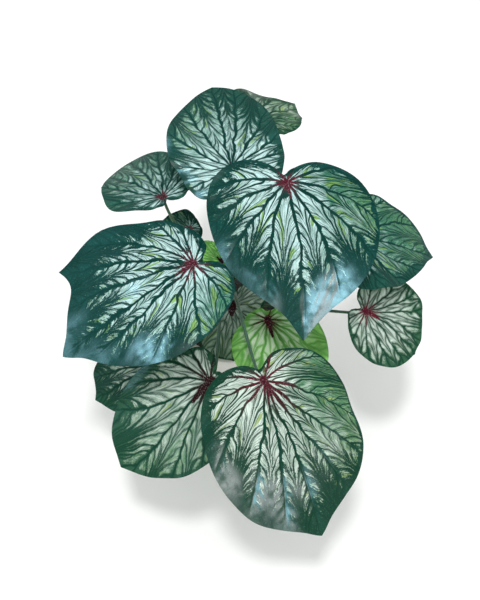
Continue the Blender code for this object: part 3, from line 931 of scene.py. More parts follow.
@dataclass(frozen=True)
class BladeFinish:
    """Colours and gloss of a blade's upper face and underside.

    dark, vein: the ground between the patches, and the veins
    pale, green, lime: the patches
    crimson, maroon: the hub and its arms
    veil, veil_vein: what the underside's ground and veins fade towards
    roughness, coat: the upper face's roughness, and its clear coat outside the waxy spots
    """

    dark: Colour
    vein: Colour
    pale: Colour
    green: Colour
    lime: Colour
    crimson: Colour
    maroon: Colour
    veil: Colour = srgb(118, 146, 122)
    veil_vein: Colour = srgb(88, 104, 80)
    roughness: float = 0.42
    coat: float = 0.02

    def upper(self, leaf: Leaf, pattern: bpy.types.NodeTree) -> bpy.types.Material:
        """Make the upper face's material for one leaf.

        Args:
            leaf: the leaf that wears it.
            pattern: the vein pattern's group.

        Returns:
            The material.
        """
        material, sketch, shader = new_material(f"blade_upper_{leaf.number:02d}")
        drawn = self.place_pattern(sketch, leaf, pattern)
        grain = sketch.noise(position(sketch), 1 / 7.0)
        _, polish, _ = sketch.split(stored(sketch, "skin"))
        worn = sketch.rise(sketch.noise(position(sketch), 1 / 13.0, 3.0), 0.3, 0.6)
        sketch.fill(shader, {
            "Base Color": drawn["Colour"],
            "Roughness": grain * 0.18 + (self.roughness - 0.09) + drawn["Veins"] * 0.08,
            "Normal": bump(sketch, drawn["Relief"], 0.0004),
            "Specular IOR Level": 0.03,
            "Coat Weight": sketch.math("ADD", polish * (worn * 0.8 + 0.2), self.coat, clamp=True),
            "Coat Roughness": 0.24,
            "Coat IOR": 1.8,
        })
        return material

    def under(self, leaf: Leaf, pattern: bpy.types.NodeTree) -> bpy.types.Material:
        """Make the underside's material: duller, paler, with raised veins.

        Args:
            leaf: the leaf that wears it.
            pattern: the vein pattern's group.

        Returns:
            The material.
        """
        material, sketch, shader = new_material(f"blade_under_{leaf.number:02d}")
        drawn = self.place_pattern(sketch, leaf, pattern)
        veiled = sketch.blend(0.62, drawn["Colour"], self.veil)
        sketch.fill(shader, {
            "Base Color": sketch.blend(drawn["Veins"] * 0.45, veiled, self.veil_vein),
            "Roughness": 0.62,
            "Normal": bump(sketch, drawn["Relief"] * -1.0, 0.0006),
            "Specular IOR Level": 0.3,
        })
        return material

    def place_pattern(self, sketch: NodeSketch, leaf: Leaf,
                      pattern: bpy.types.NodeTree) -> dict[str, Wire]:
        """Put the vein pattern in a material, with this leaf's values.

        Args:
            sketch: the material's node helper.
            leaf: the leaf that wears it.
            pattern: the vein pattern's group.

        Returns:
            The group's outputs by name.
        """
        look = leaf.markings
        sector, _, hub = sketch.split(stored(sketch, "skin"))
        group = sketch.node("ShaderNodeGroup", node_tree=pattern)
        sketch.fill(group, {
            "Vein": stored(sketch, "vein"), "Place": stored(sketch, "place"),
            "Sector": sector, "Hub Distance": hub, "Softness": look.soft,
            "Position": position(sketch), "Rib Width": look.rib_width,
            "Spacing": vein_spacing(leaf), "Pale Share": look.pale, "Lime Share": look.lime,
            "Arm Length": look.crimson[0], "Hub Radius": look.crimson[1],
            "Hub Darkness": look.hub_dark, "Dark": self.dark, "Vein Colour": self.vein,
            "Pale": self.pale, "Green Patch": self.green, "Lime": self.lime,
            "Crimson": self.crimson, "Maroon": self.maroon,
        })
        return {out.name: Wire(sketch, out) for out in group.outputs}


FINISHES = {
    Tint.TEAL: BladeFinish(
        dark=srgb(12, 68, 62), vein=srgb(12, 60, 53), pale=srgb(212, 248, 246),
        green=srgb(80, 140, 112), lime=srgb(146, 194, 90), crimson=srgb(104, 32, 50),
        maroon=srgb(50, 20, 28)),
    Tint.FOREST: BladeFinish(
        dark=srgb(20, 66, 50), vein=srgb(18, 62, 46), pale=srgb(222, 240, 228),
        green=srgb(94, 144, 104), lime=srgb(158, 184, 110), crimson=srgb(112, 34, 52),
        maroon=srgb(48, 18, 24)),
    # Bright young green: its ground, veins and green patches are raised further as painted light that
    # cancels the shade the blades above cast on it
    Tint.FRESH: BladeFinish(
        dark=srgb(160, 234, 120), vein=srgb(98, 162, 80), pale=srgb(214, 230, 206),
        green=srgb(146, 202, 112), lime=srgb(168, 208, 104), crimson=srgb(108, 28, 48),
        maroon=srgb(40, 12, 18)),
}


@dataclass(frozen=True)
class StalkFinish:
    """Olive green stalk, browner at its foot, with fine lengthwise streaks."""

    green: Colour = srgb(72, 116, 72)
    brown: Colour = srgb(86, 68, 52)
    dark: Colour = srgb(30, 60, 42)

    def make(self) -> bpy.types.Material:
        """Make the material.

        Returns:
            The material.
        """
        material, sketch, shader = new_material("stalk_skin")
        place = position(sketch)
        _, _, height = sketch.split(place)
        streaks = sketch.noise(sketch.vector("MULTIPLY", place, (1.6, 1.6, 0.06)), 1.0, 3.0)
        colour = sketch.blend(sketch.rise(streaks, 0.35, 0.7), self.dark, self.green)
        foot = sketch.fall(height, SOIL_TOP - 4, SOIL_TOP + 45)
        sketch.fill(shader, {
            "Base Color": sketch.blend(foot * 0.8, colour, self.brown),
            "Roughness": streaks * 0.25 + 0.32,
            "Normal": bump(sketch, streaks, 0.0003),
        })
        return material


@dataclass(frozen=True)
class SoilFinish:
    """Dark potting mix with paler fibres and damp patches."""

    dark: Colour = srgb(38, 28, 22)
    brown: Colour = srgb(84, 62, 46)
    fibre: Colour = srgb(132, 104, 78)

    def make(self) -> bpy.types.Material:
        """Make the material.

        Returns:
            The material.
        """
        material, sketch, shader = new_material("potting_mix")
        place = position(sketch)
        coarse = sketch.noise(place, 0.28, 4.0, 0.65)
        fine = sketch.noise(place, 1.4, 3.0, 0.7)
        colour = sketch.blend(sketch.rise(coarse, 0.35, 0.68), self.dark, self.brown)
        sketch.fill(shader, {
            "Base Color": sketch.blend(sketch.rise(fine, 0.62, 0.72), colour, self.fibre),
            "Roughness": coarse * 0.3 + 0.68,
            "Normal": bump(sketch, coarse + fine * 0.5, 0.0015),
        })
        return material


@dataclass(frozen=True)
class PotFinish:
    """Off-white satin ceramic with faint throwing lines and specks."""

    white: Colour = srgb(226, 225, 220)
    warm: Colour = srgb(217, 214, 206)
    speck: Colour = srgb(150, 140, 124)

    def make(self) -> bpy.types.Material:
        """Make the material.

        Returns:
            The material.
        """
        material, sketch, shader = new_material("pot_glaze")
        place = position(sketch)
        cloud = sketch.noise(place, 1 / 32.0, 3.0)
        rings = sketch.noise(sketch.vector("MULTIPLY", place, (0.01, 0.01, 0.6)), 1.0)
        specks = sketch.noise(place, 0.9, 1.0)
        _, _, height = sketch.split(place)
        colour = sketch.blend(sketch.rise(cloud, 0.35, 0.7), self.white, self.warm)
        colour = sketch.blend(sketch.fall(height, 0.0, 16.0) * 0.5, colour, self.warm)
        sketch.fill(shader, {
            "Base Color": sketch.blend(sketch.rise(specks, 0.72, 0.78), colour, self.speck),
            "Roughness": cloud * 0.2 + 0.26,
            "Normal": bump(sketch, rings, 0.0004),
            "Coat Weight": 0.3,
            "Coat Roughness": 0.2,
        })
        return material


# Mesh helpers


def start_fresh() -> None:
    """Leave edit mode and deselect everything."""
    if bpy.context.object and bpy.context.object.mode != "OBJECT":
        bpy.ops.object.mode_set(mode="OBJECT")
    bpy.ops.object.select_all(action="DESELECT")


def take(piece: bpy.types.Object) -> None:
    """Select one piece alone and make it the active one.

    Args:
        piece: the piece.
    """
    start_fresh()
    piece.select_set(True)
    bpy.context.view_layer.objects.active = piece


@contextmanager
def editing(piece: bpy.types.Object) -> Iterator[None]:
    """Edit one piece with all of it selected, and leave edit mode afterwards.

    Args:
        piece: the piece.

    Yields:
        Nothing; the piece is in edit mode inside the with block.
    """
    take(piece)
    bpy.ops.object.mode_set(mode="EDIT")
    bpy.ops.mesh.select_all(action="SELECT")
    yield
    bpy.ops.object.mode_set(mode="OBJECT")


def shade_smooth(degrees: float) -> None:
    """Shade the selected piece smooth, apart from edges sharper than an angle."""
    bpy.ops.object.shade_smooth_by_angle(angle=math.radians(degrees))


def apply_modifier(piece: bpy.types.Object, kind: str, **settings: object) -> None:
    """Add a modifier to a piece and apply it.

    Args:
        piece: the piece to change.
        kind: the modifier's type.
        settings: its properties by name.
    """
    take(piece)
    bpy.ops.object.modifier_add(type=kind)
    modifier = piece.modifiers[-1]
    for name, value in settings.items():
        setattr(modifier, name, value)
    bpy.ops.object.modifier_apply(modifier=modifier.name)


def merge_and_face_out(piece: bpy.types.Object) -> None:
    """Merge a closed piece's doubles and turn its faces outwards.

    Args:
        piece: the piece.
    """
    with editing(piece):
        bpy.ops.mesh.remove_doubles(threshold=MERGE_DISTANCE)
        bpy.ops.mesh.normals_make_consistent(inside=False)


def settle(piece: bpy.types.Object, node: str) -> None:
    """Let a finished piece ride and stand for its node.

    Args:
        piece: the finished piece.
        node: the solid that it stands for.
    """
    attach(piece, BODY)
    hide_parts(node)
    LOG.info("%s: %d faces", piece.name, len(piece.data.polygons))


# Foliage


def vein_spacing(leaf: Leaf) -> float:
    """Distance between side veins along a main vein, in millimetres."""
    softer = 1.0 + SPACING_BY_SOFTNESS * leaf.markings.soft
    return (LEAST_SPACING + SPACING_BY_LENGTH * leaf.length) * softer


def edge_reach(leaf: Leaf, bearings: np.ndarray) -> np.ndarray:
    """Distance from the joint to the edge: a smooth curve through the reaches, plus its points.

    Args:
        leaf: the leaf.
        bearings: degrees clockwise from the tip.

    Returns:
        Reaches in millimetres.
    """
    count = len(EDGE_BEARINGS)
    knots = np.array(EDGE_BEARINGS, float)
    values = np.array(leaf.reaches, float) - points_reach(leaf, knots)
    turn = np.mod(bearings, 360.0)
    last = np.searchsorted(knots, turn, side="right") - 1
    places = np.concatenate([knots - 360.0, knots, knots + 360.0])
    middle = np.arange(count) + count
    near = places[middle] - places[middle - 1]
    far = places[middle + 1] - places[middle]
    before, after = np.roll(values, 1), np.roll(values, -1)
    slopes = ((values - before) * far / near + (after - values) * near / far) / (near + far)
    following = (last + 1) % count
    span = far[last]
    t = (turn - knots[last]) / span
    reach = values[last] * (1 + 2 * t) * (1 - t) ** 2 + values[following] * t * t * (3 - 2 * t)
    reach += span * t * (1 - t) * (slopes[last] * (1 - t) - slopes[following] * t)
    return reach + points_reach(leaf, turn)


def points_reach(leaf: Leaf, turn: np.ndarray) -> np.ndarray:
    """How far the drawn-out tip and a second point stand past the round edge.

    Args:
        leaf: the leaf.
        turn: degrees clockwise from the tip, from 0 to 360.

    Returns:
        Distances in millimetres.
    """
    reach = leaf.point * np.exp(-np.minimum(turn, 360.0 - turn) / POINT_WIDTH)
    if leaf.corner:
        reach += leaf.corner[1] * np.exp(-np.abs(turn - leaf.corner[0]) / CORNER_WIDTH)
    return reach


def blade_turn(leaf: Leaf) -> np.ndarray:
    """Matrix that lays the blade's own frame in its place."""
    angles = (leaf.pitch, -leaf.roll, leaf.heading - 90.0)
    return np.array(Euler([math.radians(a) for a in angles], "YXZ").to_matrix())


def polar(reach: np.ndarray, turn: np.ndarray) -> np.ndarray:
    """Places on the flat blade, from distances and bearings."""
    angle = np.radians(turn)
    return np.stack([reach * np.sin(angle), reach * np.cos(angle)], axis=1)


@dataclass
class Blade:
    """Mesh of one blade: main veins sunk between soft pillows, with a waved edge.

    leaf: the leaf's values
    steps: columns from one main vein to the next
    ring_pitch, fewest_rings: distance between rings in millimetres, and their least number
    groove, groove_width: depth and half width of a main vein's groove
    pillow, pucker: height of the pillows between main veins, and of the ripples on them
    full_length: length from which a blade has its full relief
    rim_step: degrees between the points that stand for the edge
    crowding: how much closer columns stand near a main vein
    rib_bend: how late a main vein turns to its bearing at the edge
    seed: of the side veins' random offsets
    """

    leaf: Leaf
    steps: int = 16
    ring_pitch: float = 1.7
    fewest_rings: int = 24
    groove: float = 0.55
    groove_width: float = 1.9
    pillow: float = 1.1
    pucker: float = 0.28
    full_length: float = 110.0
    rim_step: float = 0.75
    crowding: float = 1.45
    rib_bend: float = 1.15
    seed: int = 100

    def build(self) -> bpy.types.Object:
        """Model the blade and store where its veins run.

        Returns:
            The blade's object, at the origin, with its place in its mesh.
        """
        start_fresh()
        rings = max(self.fewest_rings, int(self.leaf.length / self.ring_pitch))
        columns = self.steps * len(self.leaf.ribs)
        bpy.ops.mesh.primitive_grid_add(x_subdivisions=columns, y_subdivisions=rings, size=2.0,
                                        calc_uvs=False, location=(0, 0, 0))
        piece = bpy.context.object
        piece.name = f"leaf_blade_{self.leaf.number:02d}"
        mesh = piece.data
        flat = np.zeros(len(mesh.vertices) * 3)
        mesh.vertices.foreach_get("co", flat)
        flat = flat.reshape(-1, 3)
        column = np.rint((flat[:, 0] + 1.0) * 0.5 * columns).astype(int)
        share = np.rint((flat[:, 1] + 1.0) * 0.5 * rings) / rings
        self.shape(mesh, column, share)
        self.mark(mesh, column, share)
        self.thicken(piece)
        return piece

    def fractions(self) -> np.ndarray:
        """Place a sector's columns, closer together near its two main veins.

        Returns:
            Their shares of the way from one main vein to the next.
        """
        even = np.arange(self.steps) / self.steps
        half = np.abs(even - 0.5) * 2.0
        return 0.5 + np.sign(even - 0.5) * 0.5 * (1.0 - (1.0 - half) ** self.crowding)

    def rib_bearing(self, index: np.ndarray, share: np.ndarray) -> np.ndarray:
        """Bearing of main veins at a share of their length.

        Args:
            index: the veins' numbers, which may run past the last one.
            share: how far out to read each.

        Returns:
            Bearings in degrees.
        """
        ribs = np.array(self.leaf.ribs, float)
        count = len(ribs)
        start = ribs[index % count, 0] + 360.0 * (index // count)
        end = ribs[index % count, 1] + 360.0 * (index // count)
        return start + (end - start) * share ** self.rib_bend

    def bearings(self, column: np.ndarray, share: np.ndarray) -> np.ndarray:
        """Bearings of the mesh's points, which follow the main veins.

        Args:
            column: each point's column.
            share: each point's share of the way to the edge.

        Returns:
            Bearings in degrees.
        """
        index = column // self.steps
        part = self.fractions()[column % self.steps]
        low = self.rib_bearing(index, share)
        high = self.rib_bearing(index + 1, share)
        turn = low + (high - low) * part
        if self.leaf.corner:
            turn = self.snap_corner(turn, column, share)
        return turn

    def snap_corner(self, turn: np.ndarray, column: np.ndarray, share: np.ndarray) -> np.ndarray:
        """Bring the column nearest to the edge's second point onto it.

        Args:
            turn: each point's bearing.
            column: each point's column.
            share: each point's share of the way to the edge.

        Returns:
            The bearings with that column moved.
        """
        wanted = self.leaf.corner[0]
        rim = share > RIM_SHARE
        gap = np.abs((turn[rim] - wanted + 180.0) % 360.0 - 180.0)
        best = column[rim][np.argmin(gap)]
        shift = (wanted - turn[rim][np.argmin(gap)] + 180.0) % 360.0 - 180.0
        return turn + np.where(column == best, shift * share ** 4, 0.0)

    def lines(self, index: np.ndarray, right: np.ndarray) -> np.ndarray:
        """Draw a random number for each side of each main vein.

        Args:
            index: the veins' numbers.
            right: whether the side before the vein is meant.

        Returns:
            Numbers from 0 to 1.
        """
        count = len(self.leaf.ribs)
        dice = np.random.default_rng(self.seed + self.leaf.number)
        table = dice.uniform(0.01, 0.99, (count, 2))
        return table[index % count, right.astype(int)]

    def shape(self, mesh: bpy.types.Mesh, column: np.ndarray, share: np.ndarray) -> None:
        """Move the grid's points onto the blade.

        Args:
            mesh: the grid's mesh.
            column: each point's column.
            share: each point's share of the way to the edge.
        """
        leaf = self.leaf
        turn = self.bearings(column, share)
        reach = edge_reach(leaf, turn) * share
        across, along = polar(reach, turn).T
        stretch = along / leaf.length
        height = -np.where(stretch > 0, leaf.bend, leaf.back) * stretch ** 2
        height += CREASE_SLOPE * (np.hypot(across, CREASE_HALF_WIDTH) - CREASE_HALF_WIDTH)
        height -= leaf.side * (across / leaf.length) ** 2
        height += leaf.wave * share ** 3 * np.sin(np.radians(leaf.waves * turn + leaf.wave_start))
        height += self.relief(column, share, reach, turn)
        height *= ease(reach, HUB_RADIUS, HUB_BLEND)
        own = np.stack([across, along, height], axis=1)
        placed = (own @ blade_turn(leaf).T + np.array(leaf.joint, float)) * MM
        mesh.vertices.foreach_set("co", placed.ravel())
        mesh.update()

    def relief(self, column: np.ndarray, share: np.ndarray, reach: np.ndarray,
               turn: np.ndarray) -> np.ndarray:
        """Height of the grooves, pillows and puckers.

        Args:
            column: each point's column.
            share: each point's share of the way to the edge.
            reach: each point's distance from the joint.
            turn: each point's bearing.

        Returns:
            Heights in millimetres.
        """
        size = min(1.0, self.leaf.length / self.full_length)
        index = column // self.steps
        part = self.fractions()[column % self.steps]
        late = part > 0.5
        rib = index + late
        beside, along = polar(reach, turn - self.rib_bearing(rib, share)).T
        aside = np.abs(beside)
        width = self.groove_width * size * (1.0 - 0.55 * share)
        fade = ease(reach, 6.0, 22.0) * (1.0 - ease(share, 0.86, 1.0))
        groove = -self.groove * size * (1.0 - 0.6 * share) * np.exp(-(aside / width) ** 2)
        pillow = self.pillow * size * np.sin(np.pi * part) ** 0.8
        sector = 1.0 - np.abs(2.0 * part - 1.0)
        lean = aside * (VeinPattern.LEAN + VeinPattern.CURL * sector ** 3)
        count = (along - lean) / vein_spacing(self.leaf) + self.lines(rib, late)
        ripple = -np.cos(2 * np.pi * (count - 0.5)) * np.abs(np.sin(2 * np.pi * part))
        return fade * (groove + pillow - self.pillow * size * 0.4 + self.pucker * size * ripple)

    def mark(self, mesh: bpy.types.Mesh, column: np.ndarray, share: np.ndarray) -> None:
        """Store each corner's place beside its main vein and its distance from the edge.

        Args:
            mesh: the shaped mesh.
            column: each point's column.
            share: each point's share of the way to the edge.
        """
        leaf = self.leaf
        corners = np.zeros(len(mesh.loops), int)
        mesh.loops.foreach_get("vertex_index", corners)
        per_face = corners.reshape(-1, 4)
        face_column = np.repeat(column[per_face].min(axis=1), 4)
        c, s = column[corners], share[corners]
        index = face_column // self.steps
        late = (face_column % self.steps) >= self.steps // 2
        rib = index + late
        turn = self.bearings(c, s)
        reach = edge_reach(leaf, turn) * s
        ticket = rib % len(leaf.ribs) + self.lines(rib, late)
        vein = np.column_stack([polar(reach, turn - self.rib_bearing(rib, s)), ticket])
        outline = np.arange(0.0, 360.0, self.rim_step)
        point_turn = self.bearings(column, share)
        spots = polar(edge_reach(leaf, point_turn) * share, point_turn)
        gap = self.rim_gap(spots, polar(edge_reach(leaf, outline), outline))[corners]
        margin = self.around(leaf.markings.margins, turn)
        strength, greenest = leaf.markings.tone
        facing = 0.5 + 0.5 * np.cos(np.radians(turn - greenest))
        tone = strength * (facing ** 4 * ease(reach, 4.0, 0.35 * leaf.length) * 0.85 + 0.15)
        far = np.clip(edge_reach(leaf, turn) / (0.6 * leaf.length), 0.5, 1.0)
        place = np.stack([gap / margin, s * far, tone], axis=1)
        part = self.fractions()[c % self.steps]
        hub = self.hub_distance(spots)[corners]
        skin = np.stack([1.0 - np.abs(2.0 * part - 1.0), self.polish(turn, s), hub], axis=1)
        for name, values in (("vein", vein), ("place", place), ("skin", skin)):
            layer = mesh.attributes.new(name, "FLOAT_VECTOR", "CORNER")
            layer.data.foreach_set("vector", values.astype(np.float32).ravel())

    def hub_distance(self, spots: np.ndarray) -> np.ndarray:
        """Measure how far points are from the hub's line along the midrib, longer at its end.

        Args:
            spots: points on the flat blade.

        Returns:
            Distances in millimetres.
        """
        angle = math.radians(self.leaf.ribs[0][0])
        way = np.array([math.sin(angle), math.cos(angle)])
        length = self.leaf.markings.hub_length
        onto = np.clip(spots @ way, -1.5, length)
        return np.hypot(*(spots - onto[:, None] * way).T) / (1.0 - 0.55 * onto / length)

    def polish(self, turn: np.ndarray, share: np.ndarray) -> np.ndarray:
        """Strength of the waxy shine.

        Args:
            turn: bearings of the points.
            share: their shares of the way to the edge.

        Returns:
            Strengths from 0 to 1.
        """
        total = np.zeros(len(turn))
        for spot in self.leaf.markings.shine:
            middle, half = (spot.first + spot.last) * 0.5, (spot.last - spot.first) * 0.5
            miss = (turn - middle + 180.0) % 360.0 - 180.0
            within = ease(miss, -half - spot.soft, -half)
            within *= 1.0 - ease(miss, half, half + spot.last_soft)
            within *= ease(share, spot.start - 0.04, spot.start + 0.14)
            total += spot.strength * within * (1.0 - ease(share, spot.end, spot.end + 0.1))
        return np.clip(total, 0.0, 1.0)

    @staticmethod
    def rim_gap(spots: np.ndarray, rim: np.ndarray) -> np.ndarray:
        """Distance of points from the closed outline.

        Args:
            spots: points on the flat blade.
            rim: points of its outline.

        Returns:
            Distances in millimetres.
        """
        ends = np.roll(rim, -1, axis=0)
        best = np.full(len(spots), np.inf)
        for start, end in zip(rim, ends):
            side = end - start
            t = np.clip((spots - start) @ side / (side @ side), 0.0, 1.0)
            miss = spots - start - t[:, None] * side
            best = np.minimum(best, (miss ** 2).sum(axis=1))
        return np.sqrt(best)

    @staticmethod
    def around(knots: tuple, bearings: np.ndarray) -> np.ndarray:
        """Read values given at some bearings, blended evenly between them.

        Args:
            knots: pairs of a bearing and a value.
            bearings: where to read.

        Returns:
            The values there.
        """
        places = np.array([k[0] for k in knots], float)
        values = np.array([k[1] for k in knots], float)
        places = np.append(places, places[0] + 360.0)
        values = np.append(values, values[0])
        return np.interp(np.mod(bearings, 360.0), places, values)

    def thicken(self, piece: bpy.types.Object) -> None:
        """Close the seam, give the sheet its thickness and shade it smooth.

        Args:
            piece: the flat sheet's object.
        """
        with editing(piece):
            bpy.ops.mesh.remove_doubles(threshold=MERGE_DISTANCE)
        up = Vector(blade_turn(self.leaf)[:, 2])
        lean = sum((face.normal.dot(up) * face.area for face in piece.data.polygons), 0.0)
        if lean < 0.0:
            with editing(piece):
                bpy.ops.mesh.flip_normals()
        piece.data.materials.append(None)
        piece.data.materials.append(None)
        apply_modifier(piece, "SOLIDIFY", thickness=SHEET_THICKNESS * MM, offset=-1.0,
                       material_offset=1)
        shade_smooth(LEAF_SMOOTH)


@dataclass
class Stalk:
    """Slim tapered stalk that arches from the soil to the underside of its blade.

    leaf: the leaf's values
    root_radius, tip_radius: its radius at the soil and at the blade
    sections: steps of its arch
    straight: length of its square end
    sunk: how far its end goes into the blade
    swelling, ripple: shares by which its end swells, and by which its radius comes and goes
    """

    leaf: Leaf
    root_radius: float = 2.1
    tip_radius: float = 1.4
    sections: int = 48
    straight: float = 2.5
    sunk: float = 0.15
    swelling: float = 0.22
    ripple: float = 0.04

    def route(self) -> list[Vector]:
        """Lay the centre line: straight in the soil, then one smooth arch to the blade.

        Returns:
            Its points from the foot up, in millimetres.
        """
        leaf = self.leaf
        upward = Vector(blade_turn(leaf)[:, 2])
        foot = Vector((*leaf.root, SOIL_TOP - HOLE_DEPTH + SEAT))
        start = Vector((*leaf.root, SOIL_TOP + SEAT))
        neck = Vector(leaf.joint) - upward * (BLADE_THICKNESS + STALK_GAP + self.straight)
        first = start + Vector((0, 0, leaf.rise))
        second = neck - upward * leaf.arrive
        points = [foot]
        for step in range(self.sections + 1):
            t = step / self.sections
            points.append(start * (1 - t) ** 3 + first * 3 * t * (1 - t) ** 2
                          + second * 3 * t * t * (1 - t) + neck * t ** 3)
        end = Vector(leaf.joint) - upward * (SHEET_THICKNESS - self.sunk)
        return [*points, neck.lerp(end, 0.5), end]

    def build(self) -> bpy.types.Object:
        """Model the stalk as a swept round tube with closed ends.

        Returns:
            The stalk's object.
        """
        start_fresh()
        bpy.ops.curve.primitive_nurbs_path_add(location=(0, 0, 0))
        piece = bpy.context.object
        piece.name = f"leaf_stalk_{self.leaf.number:02d}"
        curve = piece.data
        curve.splines.clear()
        points = self.route()
        last = len(points) - 1
        spline = curve.splines.new("POLY")
        spline.points.add(last)
        for index, place in enumerate(points):
            share = index / last
            swell = self.swelling * ease(share, 0.95, 1.0) - self.ripple * math.sin(share * 19.0)
            radius = self.root_radius + (self.tip_radius - self.root_radius) * share ** 0.9
            spline.points[index].co = (*(place * MM), 1.0)
            spline.points[index].radius = radius * (1.0 + float(swell)) / self.root_radius
        curve.bevel_depth = self.root_radius * MM
        curve.bevel_resolution = 4
        curve.use_fill_caps = True
        take(piece)
        bpy.ops.object.convert(target="MESH")
        piece = bpy.context.object
        merge_and_face_out(piece)
        shade_smooth(LEAF_SMOOTH)
        return piece


class Foliage:
    """All the blades on their stalks."""

    def __init__(self, leaves: tuple[Leaf, ...]) -> None:
        """Keep the leaves, and make what they all wear.

        Args:
            leaves: the leaves to build.
        """
        self.leaves = leaves
        self.pattern = VeinPattern().build()
        self.skin = StalkFinish().make()

    def build(self) -> None:
        """Build and dress every blade and stalk."""
        for leaf in self.leaves:
            finish = FINISHES[leaf.tint]
            blade = Blade(leaf).build()
            blade.data.materials[0] = finish.upper(leaf, self.pattern)
            blade.data.materials[1] = finish.under(leaf, self.pattern)
            settle(blade, f"blade_{leaf.number:02d}")
            stalk = Stalk(leaf).build()
            stalk.data.materials.append(self.skin)
            settle(stalk, f"stalk_{leaf.number:02d}")


# Pot and soil


def inner_radius(height: float) -> float:
    """Radius of the pot's inner wall at a height, in millimetres."""
    widening = INNER_TOP_RADIUS - INNER_BASE_RADIUS
    return INNER_BASE_RADIUS + widening * (height - POT_FLOOR) / (POT_HEIGHT - POT_FLOOR)


@dataclass
class Pot:
    """Tapered pot with a plain band at the rim and drain holes.

    base_radius, shoulder_radius, rim_radius: outside at the foot, below the band and at the band
    rim_height: height of the band
    edge: width of the slope at each corner of the outline
    bevel: width by which the corners are rounded
    sides: corners of each ring
    floor_ring: radius of the last ring, on the inner floor
    drains, drain_radius, drain_circle: drain holes, their radius and that of their circle
    """

    base_radius: float = 48.0
    shoulder_radius: float = 65.0
    rim_radius: float = 71.0
    rim_height: float = 20.0
    edge: float = 2.0
    bevel: float = 0.9
    sides: int = 144
    floor_ring: float = 20.0
    drains: int = 3
    drain_radius: float = 4.0
    drain_circle: float = 27.0

    def profile(self) -> list[tuple[float, float]]:
        """List the rings from the foot up and down to the inner floor.

        Returns:
            Each ring's radius and height.
        """
        band = POT_HEIGHT - self.rim_height
        return [
            (self.base_radius - self.edge, 0.0), (self.base_radius, self.edge),
            (self.shoulder_radius, band - self.edge), (self.rim_radius - self.edge, band),
            (self.rim_radius, band + self.edge), (self.rim_radius, POT_HEIGHT - self.edge),
            (self.rim_radius - self.edge, POT_HEIGHT),
            (inner_radius(POT_HEIGHT) + self.edge, POT_HEIGHT),
            (inner_radius(POT_HEIGHT), POT_HEIGHT - self.edge),
            (inner_radius(POT_FLOOR), POT_FLOOR), (self.floor_ring, POT_FLOOR),
        ]

    def build(self) -> bpy.types.Object:
        """Raise the pot from a ring by extruding and scaling, then drill and soften it.

        Returns:
            The pot's object.
        """
        start_fresh()
        rings = self.profile()
        bpy.ops.mesh.primitive_circle_add(vertices=self.sides, radius=rings[0][0] * MM,
                                          fill_type="NGON", location=(0, 0, 0))
        pot = bpy.context.object
        pot.name = "pot_body"
        with editing(pot):
            for (radius, low), (wider, high) in zip(rings, rings[1:]):
                bpy.ops.mesh.extrude_region_move(
                    TRANSFORM_OT_translate={"value": (0, 0, (high - low) * MM)})
                bpy.ops.transform.resize(value=(wider / radius, wider / radius, 1.0),
                                         center_override=(0, 0, high * MM))
        merge_and_face_out(pot)
        self.drill(pot)
        apply_modifier(pot, "BEVEL", width=self.bevel * MM, segments=3, limit_method="ANGLE",
                       angle_limit=math.radians(28))
        shade_smooth(POT_SMOOTH)
        return pot

    def drill(self, pot: bpy.types.Object) -> None:
        """Cut the drain holes through the pot's floor.

        Args:
            pot: the pot's object.
        """
        for index in range(self.drains):
            turn = math.tau * index / self.drains
            start_fresh()
            bpy.ops.mesh.primitive_cylinder_add(
                vertices=40, radius=self.drain_radius * MM, depth=30.0 * MM,
                location=(self.drain_circle * MM * math.cos(turn),
                          self.drain_circle * MM * math.sin(turn), POT_FLOOR * 0.5 * MM))
            drill = bpy.context.object
            apply_modifier(pot, "BOOLEAN", operation="DIFFERENCE", solver="EXACT", object=drill)
            bpy.data.objects.remove(drill, do_unlink=True)


